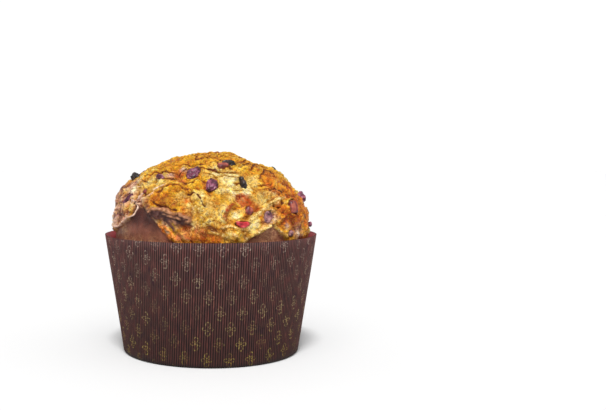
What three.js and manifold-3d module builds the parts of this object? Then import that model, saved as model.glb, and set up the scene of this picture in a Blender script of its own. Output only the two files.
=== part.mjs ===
// A tall panettone in its flared paper case, in millimetres, +Z up.
// The origin is the centre of the case's flat base. The shown front faces -Y, with +X to its right.
// The case is a thin cup of corrugated paper. The bread fills it and rises over the rim as a torn dome,
// and raisins and candied peel sit in pockets of the crust, a small gap away from the crumb.

import * as THREE from "three";
import Module from "manifold-3d";
import { mergeVertices } from "three/addons/utils/BufferGeometryUtils.js";

// The paper case
const CASE_HEIGHT = 113;
const BASE_RADIUS = 85;
const RIM_RADIUS = 102.5;
const PAPER = 1.2; // corrugated paper, liner and flutes together
const FLOOR = 1.0;
const BASE_EDGE_RADIUS = 2.5;
const CASE_SEGMENTS = 72;

// The bread
const GAP = 0.35; // between touching pieces
const DOME_RADIUS = 94.2;
const DOME_MIDDLE = 120; // height of the dome's widest ring
const DOME_RISE = 71.5; // from that ring to the top, before the relief
const NECK_DEPTH = 30; // how far the dome's underside reaches into the body
const NECK_FULLNESS = 4;
const BODY_TOP = 102;
const BODY_SHOULDER = 7;
const DOME_DETAIL = 17;
const RING_ANGLE = 120; // where the even sphere's triangles turn into the widest ring

const radians = (degrees) => THREE.MathUtils.degToRad(degrees);
const smoothstep = THREE.MathUtils.smoothstep;

// A number from 0 to 1 that is the same on every run.
function chance(index, salt) {
  const x = Math.sin(index * 12.9898 + salt * 78.233) * 43758.5453;
  return x - Math.floor(x);
}

// Places on the smooth dome. Azimuth is counted from the front towards +X. Drop is counted from the top: 90 degrees is
// the widest ring, and past it each degree goes straight down by as much as it does at the ring.
function domePoint(azimuth, drop) {
  const a = radians(azimuth);
  const d = radians(Math.min(drop, 90));
  const below = radians(Math.max(drop - 90, 0));
  const r = DOME_RADIUS * Math.sin(d);
  const z = DOME_MIDDLE + DOME_RISE * (Math.cos(d) - below);
  return new THREE.Vector3(r * Math.sin(a), -r * Math.cos(a), z);
}

function domeNormal(point) {
  const up = Math.max(point.z - DOME_MIDDLE, 0) / DOME_RISE ** 2;
  return new THREE.Vector3(point.x / DOME_RADIUS ** 2, point.y / DOME_RADIUS ** 2, up).normalize();
}

// Folds and cracks of the crust: [azimuth, drop] points, height (below zero a crack) and half width.
const FOLDS = [
  { height: -4.2, width: 3.5, points: [[-9, 60], [-6, 63], [-3, 67], [-2, 72]] },
  { height: -2.6, width: 3.2, points: [[-27, 46], [-24, 41], [-19, 37], [-13, 35], [-7, 38]] },
  { height: -2.4, width: 2.9, points: [[-5, 84], [-1, 81], [2, 78]] },
  { height: -3.4, width: 3.8, points: [[36, 63], [45, 58], [51, 60], [57, 62], [62, 68]] },
  { height: -3.6, width: 3.5, points: [[33, 77], [40, 72.5], [50, 68]] },
  { height: -2.6, width: 3.5, points: [[-53, 69], [-48, 64], [-44, 61], [-38, 54]] },
  { height: -3.0, width: 3.8, points: [[8, 80], [9, 72], [15, 67], [24, 68]] },
  { height: 2.4, width: 3.0, points: [[-73, 91], [-59, 86], [-52, 82], [-48, 76], [-50, 70]] },
  { height: 2.0, width: 3.5, points: [[-57, 75], [-53, 68], [-49, 63]] },
  { height: 4.2, width: 5.4, points: [[-37, 75], [-33, 72], [-28, 73], [-22, 76], [-15, 81], [-10, 80]] },
  { height: 3.6, width: 4.2, points: [[51, 65], [40, 69], [31, 74], [26, 78], [21, 86], [18, 93]] },
  { height: 2.6, width: 3.5, points: [[17, 96], [24, 90], [30, 84.5], [37, 90], [46, 97]] },
  { height: -3.6, width: 3.8, points: [[96, 58], [104, 66], [107, 74], [118, 79]] },
  { height: 3.4, width: 4.5, points: [[84, 74], [97, 68], [112, 66], [126, 72]] },
  { height: -3.2, width: 3.8, points: [[140, 44], [151, 50], [158, 60], [170, 63]] },
  { height: 3.6, width: 5.1, points: [[136, 76], [149, 70], [162, 72], [173, 80]] },
  { height: -3.8, width: 4.2, points: [[188, 52], [196, 60], [205, 64], [211, 73]] },
  { height: 3.4, width: 4.5, points: [[192, 84], [206, 78], [219, 74], [232, 79]] },
  { height: -3.0, width: 3.8, points: [[228, 40], [240, 47], [247, 57], [259, 60]] },
  { height: 3.2, width: 4.2, points: [[238, 70], [249, 64], [262, 67], [273, 76]] },
  { height: -2.8, width: 3.5, points: [[-120, 24], [-70, 20], [-20, 22], [20, 18]] },
  { height: -2.6, width: 3.5, points: [[60, 26], [100, 22], [150, 27], [200, 24]] },
];

// Rounded lobes and hollows of the dome: azimuth, drop, height and radius.
const LOBES = [
  [60, 9, 2.6, 26],
  [-30, 26, 2.4, 24],
  [-84, 60, 3.2, 15],
  [54, 42, 2.2, 22],
  [30, 52, -1.8, 9],
  [12, 56, -2.6, 11],
  [-6, 70, 2.6, 9],
  [-3, 79, 2.4, 8],
  [-28, 64, 2.8, 14],
  [32, 63, 2.4, 7],
  [43, 65, 2.0, 6],
  [-68, 74, 2.2, 15],
  [66, 78, 2.2, 14],
  [2, 89, 2.4, 14],
  [18, 76, -3.2, 8],
  [110, 50, 2.8, 20],
  [130, 84, 2.6, 16],
  [155, 34, 2.6, 20],
  [178, 70, 2.8, 17],
  [205, 42, 2.4, 19],
  [228, 86, 2.6, 17],
  [250, 52, 2.6, 20],
  [272, 66, 2.0, 14],
  [0, 0, -2.2, 40],
  [88, 27, -5.0, 16],
  [62, 31, -1.6, 11],
  [88, 57, -3.0, 13],
  [-86, 44, -2.4, 10],
];

// The upper edge of the smooth skin that the torn crumb has burst out of, as [azimuth, drop].
const SKIN_EDGE = [
  [-77, 92], [-62, 87], [-53, 80], [-50, 71], [-44, 72], [-37, 76], [-30, 79], [-25, 84], [-21, 90],
  [-19.5, 97], [-18.5, 85], [-13, 83], [-9, 86], [-6, 97], [18, 98], [24, 91], [30.5, 86], [37, 91],
  [47, 99], [80, 98], [95, 89], [107, 74], [119, 85], [131, 98], [150, 97], [163, 82], [172, 75],
  [185, 90], [200, 98], [222, 97], [235, 86], [246, 73], [256, 83], [268, 90], [283, 92],
];
const SKIN_RECESS = 2.2;
const SKIN_EDGE_WIDTH = 4; // degrees of drop over which the torn crumb steps down to the skin

// The lumps of torn crumb: cells spread evenly over the dome, each a little pillow.
const LUMPS = 150;
const LUMP_HEIGHT = 4;
const LUMP_REACH = 9;
const LUMP_JITTER = 0.5;
const GOLDEN_ANGLE = Math.PI * (3 - Math.sqrt(5));

const lumps = Array.from({ length: LUMPS }, (_, i) => {
  const level = 1 - (i + 0.5) / LUMPS;
  const drop = THREE.MathUtils.radToDeg(Math.acos(level)) + LUMP_JITTER * 8 * (chance(i, 1) - 0.5);
  const azimuth = THREE.MathUtils.radToDeg(i * GOLDEN_ANGLE) + LUMP_JITTER * 14 * (chance(i, 2) - 0.5);
  return { at: domePoint(azimuth, Math.max(drop * 1.06, 0)), rise: 0.45 + 0.9 * chance(i, 3) };
});

// Slow waves that bend the rows of lumps, so that no cell looks like its neighbour.
function warped(p) {
  return new THREE.Vector3(
    p.x + 4.5 * Math.sin(p.y * 0.085 + 1.7 * Math.sin(p.z * 0.06)),
    p.y + 4.5 * Math.sin(p.z * 0.09 + 1.5 * Math.sin(p.x * 0.055)),
    p.z + 3.5 * Math.sin(p.x * 0.08 + 1.6 * Math.sin(p.y * 0.065)),
  );
}

function lumpHeight(point) {
  const p = warped(point);
  let near = Infinity;
  let next = Infinity;
  let rise = 0;
  for (const lump of lumps) {
    const d = p.distanceTo(lump.at);
    if (d < near) {
      next = near;
      near = d;
      rise = lump.rise;
    } else if (d < next) {
      next = d;
    }
  }
  const pillow = Math.min((next - near) / LUMP_REACH, 1);
  return LUMP_HEIGHT * rise * (Math.sqrt(pillow) - 0.5);
}

const foldLines = FOLDS.map((fold) => ({
  ...fold,
  line: fold.points.map(([azimuth, drop]) => domePoint(azimuth, drop)),
}));

// Distance from a point to a fold's line, and how far along the fold it is, from 0 to 1.
function alongFold(point, line) {
  const segment = new THREE.Line3();
  const close = new THREE.Vector3();
  let best = Infinity;
  let share = 0;
  for (let i = 0; i + 1 < line.length; i++) {
    segment.set(line[i], line[i + 1]);
    const t = segment.closestPointToPointParameter(point, true);
    segment.at(t, close);
    const d = close.distanceTo(point);
    if (d < best) {
      best = d;
      share = (i + t) / (line.length - 1);
    }
  }
  return { distance: best, share };
}

function skinEdgeAt(azimuth) {
  const first = SKIN_EDGE[0][0];
  const a = ((((azimuth - first) % 360) + 360) % 360) + first;
  for (let i = 0; i + 1 < SKIN_EDGE.length; i++) {
    const [a0, d0] = SKIN_EDGE[i];
    const [a1, d1] = SKIN_EDGE[i + 1];
    if (a >= a0 && a <= a1) return d0 + ((d1 - d0) * (a - a0)) / (a1 - a0);
  }
  return SKIN_EDGE[0][1];
}

// How far the real crust stands out from the smooth dome.
function relief(azimuth, drop) {
  const p = domePoint(azimuth, drop);
  const intoSkin = smoothstep(drop - skinEdgeAt(azimuth), -SKIN_EDGE_WIDTH / 2, SKIN_EDGE_WIDTH / 2);
  let height = lumpHeight(p) * (1 - intoSkin) - SKIN_RECESS * intoSkin;
  for (const [a, d, rise, radius] of LOBES) {
    height += rise * Math.exp(-((p.distanceTo(domePoint(a, d)) / radius) ** 2));
  }
  for (const fold of foldLines) {
    const { distance, share } = alongFold(p, fold.line);
    const fade = smoothstep(share, 0, 0.2) * smoothstep(1 - share, 0, 0.2);
    height += fold.height * (0.35 + 0.65 * fade) * Math.exp(-((distance / fold.width) ** 2));
  }
  const towardsNeck = 1 - smoothstep(drop, 94, 104);
  return height * towardsNeck;
}

const wasm = await Module();
wasm.setup();

function toSolid(geometry) {
  const bare = geometry.clone();
  bare.deleteAttribute("normal");
  bare.deleteAttribute("uv");
  const merged = mergeVertices(bare, 1e-3);
  return new wasm.Manifold(
    new wasm.Mesh({
      numProp: 3,
      vertProperties: new Float32Array(merged.attributes.position.array),
      triVerts: new Uint32Array(merged.index.array),
    }),
  );
}

function toGeometry(solid) {
  const { vertProperties, triVerts } = solid.getMesh();
  const geometry = new THREE.BufferGeometry();
  geometry.setAttribute("position", new THREE.BufferAttribute(vertProperties, 3));
  geometry.setIndex(new THREE.BufferAttribute(triVerts, 1));
  geometry.computeVertexNormals();
  return geometry;
}

const wallRadius = (z) => BASE_RADIUS + ((RIM_RADIUS - BASE_RADIUS) * z) / CASE_HEIGHT;

// The cup, as one closed profile turned about the axis: base, outer wall, rim, inner wall and floor.
function caseGeometry() {
  const edge = BASE_EDGE_RADIUS;
  const outside = [new THREE.Vector2(0, 0)];
  for (let i = 0; i <= 4; i++) {
    const a = (i / 4) * (Math.PI / 2);
    outside.push(new THREE.Vector2(wallRadius(edge) - edge * (1 - Math.sin(a)), edge * (1 - Math.cos(a))));
  }
  const inside = [
    new THREE.Vector2(RIM_RADIUS - PAPER, CASE_HEIGHT),
    new THREE.Vector2(wallRadius(edge) - PAPER, edge),
    new THREE.Vector2(wallRadius(edge) - PAPER - 1.2, FLOOR),
    new THREE.Vector2(0, FLOOR),
  ];
  const profile = [...outside, new THREE.Vector2(RIM_RADIUS, CASE_HEIGHT), ...inside];
  return new THREE.LatheGeometry(profile, CASE_SEGMENTS).rotateX(Math.PI / 2);
}

// The part of the bread that the paper holds.
function bodySolid() {
  const inner = (z) => wallRadius(z) - PAPER - GAP;
  const bottom = FLOOR + GAP;
  const chamfer = 3;
  const profile = [
    new THREE.Vector2(0, bottom),
    new THREE.Vector2(inner(chamfer) - chamfer, bottom),
    new THREE.Vector2(inner(chamfer + bottom), bottom + chamfer),
    new THREE.Vector2(inner(BODY_TOP - BODY_SHOULDER), BODY_TOP - BODY_SHOULDER),
    new THREE.Vector2(inner(BODY_TOP) - 2.2, BODY_TOP - 2.2),
    new THREE.Vector2(inner(BODY_TOP) - BODY_SHOULDER, BODY_TOP),
    new THREE.Vector2(0, BODY_TOP),
  ];
  return toSolid(new THREE.LatheGeometry(profile, CASE_SEGMENTS).rotateX(Math.PI / 2));
}

// The dome: a sphere of even triangles, shaped to the smooth dome above its widest ring and to a
// straight-sided neck below it, then pushed in and out by the crust's relief.
function domeSolid() {
  const geometry = new THREE.IcosahedronGeometry(1, DOME_DETAIL);
  const position = geometry.attributes.position;
  const v = new THREE.Vector3();
  for (let i = 0; i < position.count; i++) {
    v.fromBufferAttribute(position, i).normalize();
    const azimuth = THREE.MathUtils.radToDeg(Math.atan2(v.x, -v.y));
    const angle = THREE.MathUtils.radToDeg(Math.acos(THREE.MathUtils.clamp(v.z, -1, 1)));
    const place = new THREE.Vector3();
    let drop = (90 * angle) / RING_ANGLE;
    if (angle <= RING_ANGLE) {
      place.copy(domePoint(azimuth, drop));
    } else {
      const down = NECK_DEPTH * Math.sin(radians((90 * (angle - RING_ANGLE)) / (180 - RING_ANGLE)));
      const r = DOME_RADIUS * (1 - (down / NECK_DEPTH) ** NECK_FULLNESS) ** (1 / NECK_FULLNESS);
      place.set(r * Math.sin(radians(azimuth)), -r * Math.cos(radians(azimuth)), DOME_MIDDLE - down);
      drop = 90 + THREE.MathUtils.radToDeg(down / DOME_RISE);
    }
    place.addScaledVector(domeNormal(place), relief(azimuth, drop));
    position.setXYZ(i, place.x, place.y, place.z);
  }
  return toSolid(geometry);
}

// Fruit that shows at the crust: azimuth, drop, size along and across the surface and through it, the turn of its long
// side from level, and how far its middle stands out of the smooth dome.
const FRUIT = [
  ["raisin_01", 19.5, 32.3, 12.5, 8, 7, 8, 0.6],
  ["raisin_02", -14, 43, 16, 10, 8, 68, 0.4],
  ["raisin_03", 1, 54, 14, 10.5, 8, 84, 0.2],
  ["raisin_04", 22.3, 52, 12.5, 6, 6.5, 86, 0.2],
  ["raisin_05", -79, 50, 9.5, 8, 8.5, 20, 0.6],
  ["raisin_06", -60, 67, 14, 5.5, 5.5, 45, 0],
  ["raisin_07", 81, 66.5, 10, 6, 8, 88, 1.0],
  ["raisin_08", 34, 78.5, 12, 9, 5, 60, -0.8],
  ["raisin_09", 50, 91.5, 7, 5.5, 5, 10, 0.6],
  ["raisin_10", -40, 48.5, 9.5, 4.5, 5, -8, 0.4],
  ["raisin_11", 80, 88, 5.5, 5, 5, 0, 1.2],
  ["raisin_12", 118, 46, 11, 8, 7, 30, 0.8],
  ["raisin_13", 143, 66, 10.5, 8, 7, 75, 0.6],
  ["raisin_14", 196, 74, 11, 8, 7, 15, 0.6],
  ["raisin_15", 182, 36, 12, 8.5, 7, 120, 0.8],
  ["raisin_16", 224, 58, 10, 8, 7, 50, 0.6],
  ["raisin_17", 262, 46, 10, 7.5, 7, 100, 0.8],
  ["raisin_18", 160, 88, 8, 6, 6, 20, 0.8],
  ["peel_01", 11, 36.8, 9, 6, 5, 15, 0.4],
  ["peel_02", 52, 73.5, 12.5, 11, 8, 84, 1.6],
  ["peel_03", 17, 83, 13, 6, 6, -4, 1.4],
  ["peel_04", 22, 73.5, 8, 7.5, 6, 50, -0.6],
  ["peel_05", -46.5, 60, 4.6, 4, 4, 0, 0],
  ["peel_06", 97, 80, 10, 8, 7, 35, 0.8],
  ["peel_07", 166, 53, 10, 9, 7, 10, 0.6],
  ["peel_08", 243, 80, 11, 8, 7, 60, 0.8],
  ["peel_09", 208, 28, 9, 8, 6, 40, 0.6],
];
const RAISIN_DETAIL = 1;
const POCKET_GAP = 0.5;
const PEEL_SQUARENESS = 3.2;

// The middle of a fruit and the directions of its sides: along, across and out of the crust.
function fruitFrame(azimuth, drop, turn, lift) {
  const at = domePoint(azimuth, drop);
  const out = domeNormal(at);
  const level = new THREE.Vector3(Math.cos(radians(azimuth)), Math.sin(radians(azimuth)), 0);
  const along = level.clone().applyAxisAngle(out, radians(turn));
  const across = new THREE.Vector3().crossVectors(out, along);
  const surface = relief(azimuth, drop);
  const frame = new THREE.Matrix4().makeBasis(along, across, out);
  return frame.setPosition(at.addScaledVector(out, lift + Math.max(surface, -1)));
}

// A wrinkled oval for a raisin, and a rounded block for a cube of peel.
function fruitGeometry(name, length, width, thickness, grow) {
  const geometry = new THREE.IcosahedronGeometry(1, RAISIN_DETAIL);
  const position = geometry.attributes.position;
  const salt = Number(name.slice(-2));
  const v = new THREE.Vector3();
  for (let i = 0; i < position.count; i++) {
    v.fromBufferAttribute(position, i).normalize();
    if (name.startsWith("peel")) {
      const n = PEEL_SQUARENESS;
      v.divideScalar((Math.abs(v.x) ** n + Math.abs(v.y) ** n + Math.abs(v.z) ** n) ** (1 / n));
      v.multiplyScalar(0.94);
    } else {
      const wrinkle = Math.sin(5 * v.x + salt) * Math.sin(4.3 * v.y + 2 * salt) * Math.sin(3.7 * v.z + salt);
      v.multiplyScalar(0.95 + 0.09 * wrinkle);
    }
    position.setXYZ(i, v.x * (length / 2 + grow), v.y * (width / 2 + grow), v.z * (thickness / 2 + grow));
  }
  return mergeVertices(geometry.deleteAttribute("normal").deleteAttribute("uv"), 1e-3);
}

const material = (color, roughness) => new THREE.MeshStandardMaterial({ color, roughness, metalness: 0 });
const paperBrown = material("#53352f", 0.8);
const crustGold = material("#c98c35", 0.55);
const raisinPurple = material("#4a2430", 0.4);
const peelRed = material("#9c3f35", 0.35);

const panettone = new THREE.Group();

function addMesh(name, geometry, finish, frame) {
  const mesh = new THREE.Mesh(geometry, finish);
  mesh.name = name;
  if (frame) frame.decompose(mesh.position, mesh.quaternion, mesh.scale);
  panettone.add(mesh);
}

let bread = domeSolid().add(bodySolid());
for (const [name, azimuth, drop, length, width, thickness, turn, lift] of FRUIT) {
  const frame = fruitFrame(azimuth, drop, turn, lift);
  const finish = name.startsWith("peel") ? peelRed : raisinPurple;
  addMesh(name, fruitGeometry(name, length, width, thickness, 0), finish, frame);
  const pocket = fruitGeometry(name, length, width, thickness, POCKET_GAP).applyMatrix4(frame);
  bread = bread.subtract(toSolid(pocket));
}
addMesh("paper_case", caseGeometry(), paperBrown);
addMesh("bread", toGeometry(bread), crustGold);

export default panettone;
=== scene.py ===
# %% [markdown]
# A tall panettone in its paper case
#
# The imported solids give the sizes: a flared cup of corrugated paper, a loaf that fills it and rises
# over the rim as a torn dome, and raisins and candied peel in pockets of the crust. This lesson makes
# what the eye reads on the real thing: fluted, printed paper, a crust that has burst and browned, and
# sticky, wrinkled fruit. It ends with a floor, studio light and a camera.

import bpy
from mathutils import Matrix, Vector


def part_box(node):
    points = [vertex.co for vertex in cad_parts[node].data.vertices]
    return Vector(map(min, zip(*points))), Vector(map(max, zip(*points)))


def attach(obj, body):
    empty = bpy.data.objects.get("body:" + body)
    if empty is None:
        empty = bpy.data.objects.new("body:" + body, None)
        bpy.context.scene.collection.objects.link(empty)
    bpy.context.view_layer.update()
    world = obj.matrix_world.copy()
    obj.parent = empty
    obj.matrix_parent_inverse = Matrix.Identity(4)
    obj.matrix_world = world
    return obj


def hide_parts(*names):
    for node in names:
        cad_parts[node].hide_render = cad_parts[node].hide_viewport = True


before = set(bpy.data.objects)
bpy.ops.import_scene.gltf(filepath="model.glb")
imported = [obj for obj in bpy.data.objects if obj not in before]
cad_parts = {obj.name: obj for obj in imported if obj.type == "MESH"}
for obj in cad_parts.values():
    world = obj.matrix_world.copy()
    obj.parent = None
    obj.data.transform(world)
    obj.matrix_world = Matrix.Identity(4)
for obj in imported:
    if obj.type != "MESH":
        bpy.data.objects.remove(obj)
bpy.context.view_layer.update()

import math

import bmesh
import bpy
import numpy as np
from mathutils import Matrix, Vector, noise

MM = 0.001
BODY = "root"
SEED = 23
BASE_RADIUS = 85 * MM

noise.seed_set(SEED)
case_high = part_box("paper_case")[1]
CASE_HEIGHT = case_high.z
RIM_RADIUS = case_high.x
SLOPE = math.atan((RIM_RADIUS - BASE_RADIUS) / CASE_HEIGHT)
print(f"case {CASE_HEIGHT / MM:.1f} mm high, rim radius {RIM_RADIUS / MM:.1f} mm")
print(f"its wall leans outwards by {math.degrees(SLOPE):.1f} degrees")

# %% [markdown]
# Store a finished piece
#
# Every piece here is shaped in a bmesh, Blender's own mesh workshop, and then stored in a mesh
# object.


# %% Helper for pieces
def finish_piece(bm, name, material, slot, *nodes):
    mesh = bpy.data.meshes.new(name)
    bm.to_mesh(mesh)
    bm.free()
    mesh.shade_smooth()
    mesh.materials.append(material)
    piece = bpy.data.objects.new(name, mesh)
    bpy.context.scene.collection.objects.link(piece)
    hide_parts(*nodes)
    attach(piece, BODY)
    return piece


print("pieces ride on the body", BODY)

# %% [markdown]
# Start a material, and add to it
#
# Colours are written as the hex values that a paint program shows, and a shader wants linear light,
# so one function turns one into the other. A material is a net of nodes. One function adds a node of
# any kind, with its settings and its links, and hands back the output that is used next, so each line
# of a material reads as one step.


# %% Helpers for materials
def linear(hex_colour, alpha=1.0):
    values = [int(hex_colour[i : i + 2], 16) / 255 for i in (1, 3, 5)]
    return [v / 12.92 if v <= 0.04045 else ((v + 0.055) / 1.055) ** 2.4 for v in values] + [alpha]


def new_material(name):
    material = bpy.data.materials.new(name)
    material.use_nodes = True
    return material, material.node_tree, material.node_tree.nodes["Principled BSDF"]


def fill(node, *values, **named):
    """Sets a node's inputs, or links them to other nodes.

    Plain values fill the inputs in turn. Named ones fill the input of that name, with _ for a space."""
    pairs = list(zip([socket for socket in node.inputs if socket.enabled], values))
    pairs += [(node.inputs[name.replace("_", " ")], value) for name, value in named.items()]
    for socket, value in pairs:
        if isinstance(value, bpy.types.NodeSocket):
            node.id_data.links.new(value, socket)
        else:
            socket.default_value = value


def add(tree, kind, *values, out=None, stops=(), **options):
    """Adds one node and returns its first output, or the one that out names.

    Options in small letters are the node's own settings, and those with a capital are its inputs. The
    stops are the positions and colours of a colour ramp."""
    node = tree.nodes.new("ShaderNode" + kind)
    for key, value in options.items():
        if key.islower():
            setattr(node, key, value)
    fill(node, *values, **{key: value for key, value in options.items() if not key.islower()})
    while stops and len(node.color_ramp.elements) < len(stops):
        node.color_ramp.elements.new(0.5)
    for place, (position, colour) in enumerate(stops):
        node.color_ramp.elements[place].position = position
        node.color_ramp.elements[place].color = linear(colour)
    return node.outputs[out] if out else next(socket for socket in node.outputs if socket.enabled)


print("gold leaf in linear light:", [round(value, 3) for value in linear("#D4AF37")])

# %% [markdown]
# The case's paper
#
# A baking case is cut from single-face corrugated paper: a smooth greaseproof liner inside, and fine
# flutes glued to it outside. The flat blank is a piece of a ring, because a cone unrolls to one. The
# flutes and the print run straight across that blank, so on the rolled cone they stand upright in
# front and lean more and more towards the lap at the back. The way used here is the real one: a flat
# grid is laid out on the blank with a column for each step along the flutes' wave, and is then rolled
# up. A texture of stripes would be quicker, but its edges would be flat.

# %% Sizes of the paper blank
FLUTE_PITCH = 2.2 * MM
FLUTE_DEPTH = 0.75 * MM
COLUMNS_PER_FLUTE = 6
SHEET_THICKNESS = 0.2 * MM
FOLD_RADIUS = 2.5 * MM
FLANGE = 8 * MM
FRONT = math.radians(13.6)  # azimuth where the flutes stand upright, opposite the lap
LAP = 9 * MM
LAP_RISE = 0.8 * MM
WALL_ROWS = 12
FOLD_ROWS = 4
FLANGE_ROWS = 3
LAP_TURN = (LAP / RIM_RADIUS) * math.sin(SLOPE)

slant_base = BASE_RADIUS / math.sin(SLOPE)
slant_fold = slant_base + FOLD_RADIUS * (1 - math.sin(SLOPE)) / math.cos(SLOPE)
slant_rim = RIM_RADIUS / math.sin(SLOPE)
half_turn = math.pi * math.sin(SLOPE)
print(f"blank: slants {slant_base / MM:.0f} to {slant_rim / MM:.0f} mm")
print(f"it takes up {2 * math.degrees(half_turn):.0f} degrees of a ring")

# %% [markdown]
# From the blank to the rolled case
#
# A point of the blank is told by two numbers: how far it lies across from the middle line, and its
# row. The upper rows are the wall, the next few bend round the fold at the foot, and the last ones
# are the flange under the case. One function says where such a point ends up, and which way is
# outwards there. Another says how far the wall is out of round, because paper that is put together by
# hand is never a true circle.


# %% Where a point of the blank goes
OUT_OF_ROUND = 0.45 * MM
WAVE_ROUND = 1.7  # waves round the case, in units of the noise
WAVE_HEIGHT = 60 * MM
ROUND_FOOT = 20 * MM  # the foot is held round by the base, and the waves grow over this height
FOLD_STRETCH = 1.4


def wall_point(row, across):
    """Where a point of the blank lies on the rolled sheet, and which way is outwards there.

    across is the distance from the blank's middle line. row counts up from the flange's inner edge."""
    fold_row = FLANGE_ROWS
    wall_row = FLANGE_ROWS + FOLD_ROWS
    seam = half_turn + LAP_TURN if across > 0 else half_turn
    lowest = max(slant_fold, abs(across) / math.sin(seam))
    share = max(row - wall_row, 0) / WALL_ROWS
    slant = lowest + share * (slant_rim - lowest)
    turn = math.asin(across / slant)
    azimuth = FRONT + turn / math.sin(SLOPE)
    sideways = Vector((math.sin(azimuth), -math.cos(azimuth), 0))
    if row >= wall_row or lowest > slant_fold:
        outwards = sideways * math.cos(SLOPE) - Vector((0, 0, math.sin(SLOPE)))
        height = (slant - slant_base) * math.cos(SLOPE)
        place = sideways * slant * math.sin(SLOPE) + Vector((0, 0, height))
        return place, outwards, turn, slant
    centre = BASE_RADIUS + FOLD_RADIUS * (math.tan(SLOPE) - 1 / math.cos(SLOPE))
    bend = min((wall_row - row) / FOLD_ROWS, 1)
    angle = -(SLOPE + bend * (math.pi / 2 - SLOPE))
    inset = max(fold_row - row, 0) / FLANGE_ROWS * FLANGE
    outwards = sideways * math.cos(angle) + Vector((0, 0, math.sin(angle)))
    place = sideways * (centre - inset) + Vector((0, 0, FOLD_RADIUS)) + outwards * FOLD_RADIUS
    return place, outwards, turn, slant - (wall_row - row) / FOLD_ROWS * FOLD_RADIUS * FOLD_STRETCH


def case_unevenness(azimuth, height):
    """How far the wall lies inside a true circle: slow waves of a few tenths of a millimetre."""
    around = Vector((math.sin(azimuth), math.cos(azimuth), 0)) * WAVE_ROUND
    wave = OUT_OF_ROUND * noise.noise(around + Vector((0, 0, height / WAVE_HEIGHT)))
    return wave * min(height / ROUND_FOOT, 1)


rim_row = FLANGE_ROWS + FOLD_ROWS + WALL_ROWS
print("middle of the rim, in mm:", (wall_point(rim_row, 0)[0] / MM).to_tuple(1))

# %% [markdown]
# Roll the fluted sheet
#
# The grid has a row of faces for each step up the blank, and six columns for each flute, enough for a
# round wave. Each corner goes to its place on the cone and then in or out along the wave. The fold
# presses the flutes nearly flat. The end that laps over the other one is lifted, but not at the foot,
# where the base holds it down.


# %% Roll the fluted sheet
PRESSED = 0.35  # share of their depth that the flutes keep in the fold
LAP_FOOT = 8 * MM
MERGE = 0.01 * MM


def rolled_sheet():
    reach = slant_rim * math.sin(half_turn)
    lap_reach = slant_rim * math.sin(half_turn + LAP_TURN)
    columns = round((reach + lap_reach) / FLUTE_PITCH * COLUMNS_PER_FLUTE)
    bm = bmesh.new()
    bmesh.ops.create_grid(bm, x_segments=columns, y_segments=rim_row, size=0.5)
    across_map = bm.verts.layers.float.new("across")
    along_map = bm.verts.layers.float.new("along")
    for vert in bm.verts:
        across = -reach + (vert.co.x + 0.5) * (reach + lap_reach)
        row = round((vert.co.y + 0.5) * rim_row)
        place, outwards, turn, slant = wall_point(row, across)
        wave = 0.5 - 0.5 * math.cos(2 * math.pi * across / FLUTE_PITCH)
        pressed = 1 if row > FLANGE_ROWS + FOLD_ROWS else PRESSED
        lifted = max((turn - half_turn) / math.sin(SLOPE) * RIM_RADIUS / LAP + 1, 0)
        rise = LAP_RISE * min(lifted, 1) * min(place.z / LAP_FOOT, 1)
        inwards = FLUTE_DEPTH * wave * pressed - rise
        inwards += case_unevenness(FRONT + turn / math.sin(SLOPE), place.z)
        vert.co = place - outwards * inwards
        vert[across_map] = across
        vert[along_map] = slant * math.cos(turn) - slant_base
    bmesh.ops.remove_doubles(bm, verts=bm.verts, dist=MERGE)
    bmesh.ops.recalc_face_normals(bm, faces=bm.faces)
    return bm


sheet = rolled_sheet()
print(f"fluted sheet: {len(sheet.verts)} corners")

# %% [markdown]
# The liner and the base disc
#
# Behind the flutes lies the smooth liner, which shows as a dark red band where the rim stands clear
# of the loaf. It is a surface of revolution, so one profile is spun round. Under the case the wall's
# folded edge holds a plain disc of the same paper, which is simply a filled circle.


# %% Spin the liner, and cut the base disc
LINER_STEPS = 160
LINER_CLEAR = 0.95 * MM  # from the face of the flutes to the liner
LINER_FLOOR = 1.0 * MM
LINER_CORNER = 1.6 * MM
LINER_WALL_FROM = 3 * MM
LINER_WALL_STEPS = 10
DISC_HEIGHT = 0.55 * MM
DISC_CLEAR = 3 * MM


def spun(profile, steps):
    bm = bmesh.new()
    verts = [bm.verts.new((radius, 0, height)) for radius, height in profile]
    edges = [bm.edges.new(pair) for pair in zip(verts, verts[1:])]
    bmesh.ops.spin(
        bm, geom=verts + edges, cent=(0, 0, 0), axis=(0, 0, 1), angle=2 * math.pi, steps=steps,
        use_merge=True,
    )
    bmesh.ops.remove_doubles(bm, verts=bm.verts, dist=MERGE)
    bmesh.ops.recalc_face_normals(bm, faces=bm.faces)
    return bm


def liner_sheet():
    clear = LINER_CLEAR / math.cos(SLOPE)
    foot = BASE_RADIUS - clear - LINER_CORNER
    rise = (CASE_HEIGHT - LINER_WALL_FROM) / LINER_WALL_STEPS
    heights = [LINER_WALL_FROM + rise * step for step in range(LINER_WALL_STEPS + 1)]
    wall = [(BASE_RADIUS + height * math.tan(SLOPE) - clear, height) for height in heights]
    bottom = [(radius, LINER_FLOOR) for radius in (0, foot / 2, foot)]
    bm = spun(bottom + wall, LINER_STEPS)
    for vert in bm.verts:
        around = math.atan2(vert.co.x, -vert.co.y)
        vert.co -= Vector((math.sin(around), -math.cos(around), 0)) * case_unevenness(around, vert.co.z)
    return bm


liner = liner_sheet()
disc = bmesh.new()
bmesh.ops.create_circle(disc, cap_ends=True, radius=BASE_RADIUS - DISC_CLEAR, segments=LINER_STEPS)
bmesh.ops.translate(disc, verts=disc.verts, vec=(0, 0, DISC_HEIGHT))
print(f"liner: {len(liner.faces)} faces, disc: {len(disc.verts)} corners")

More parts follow.
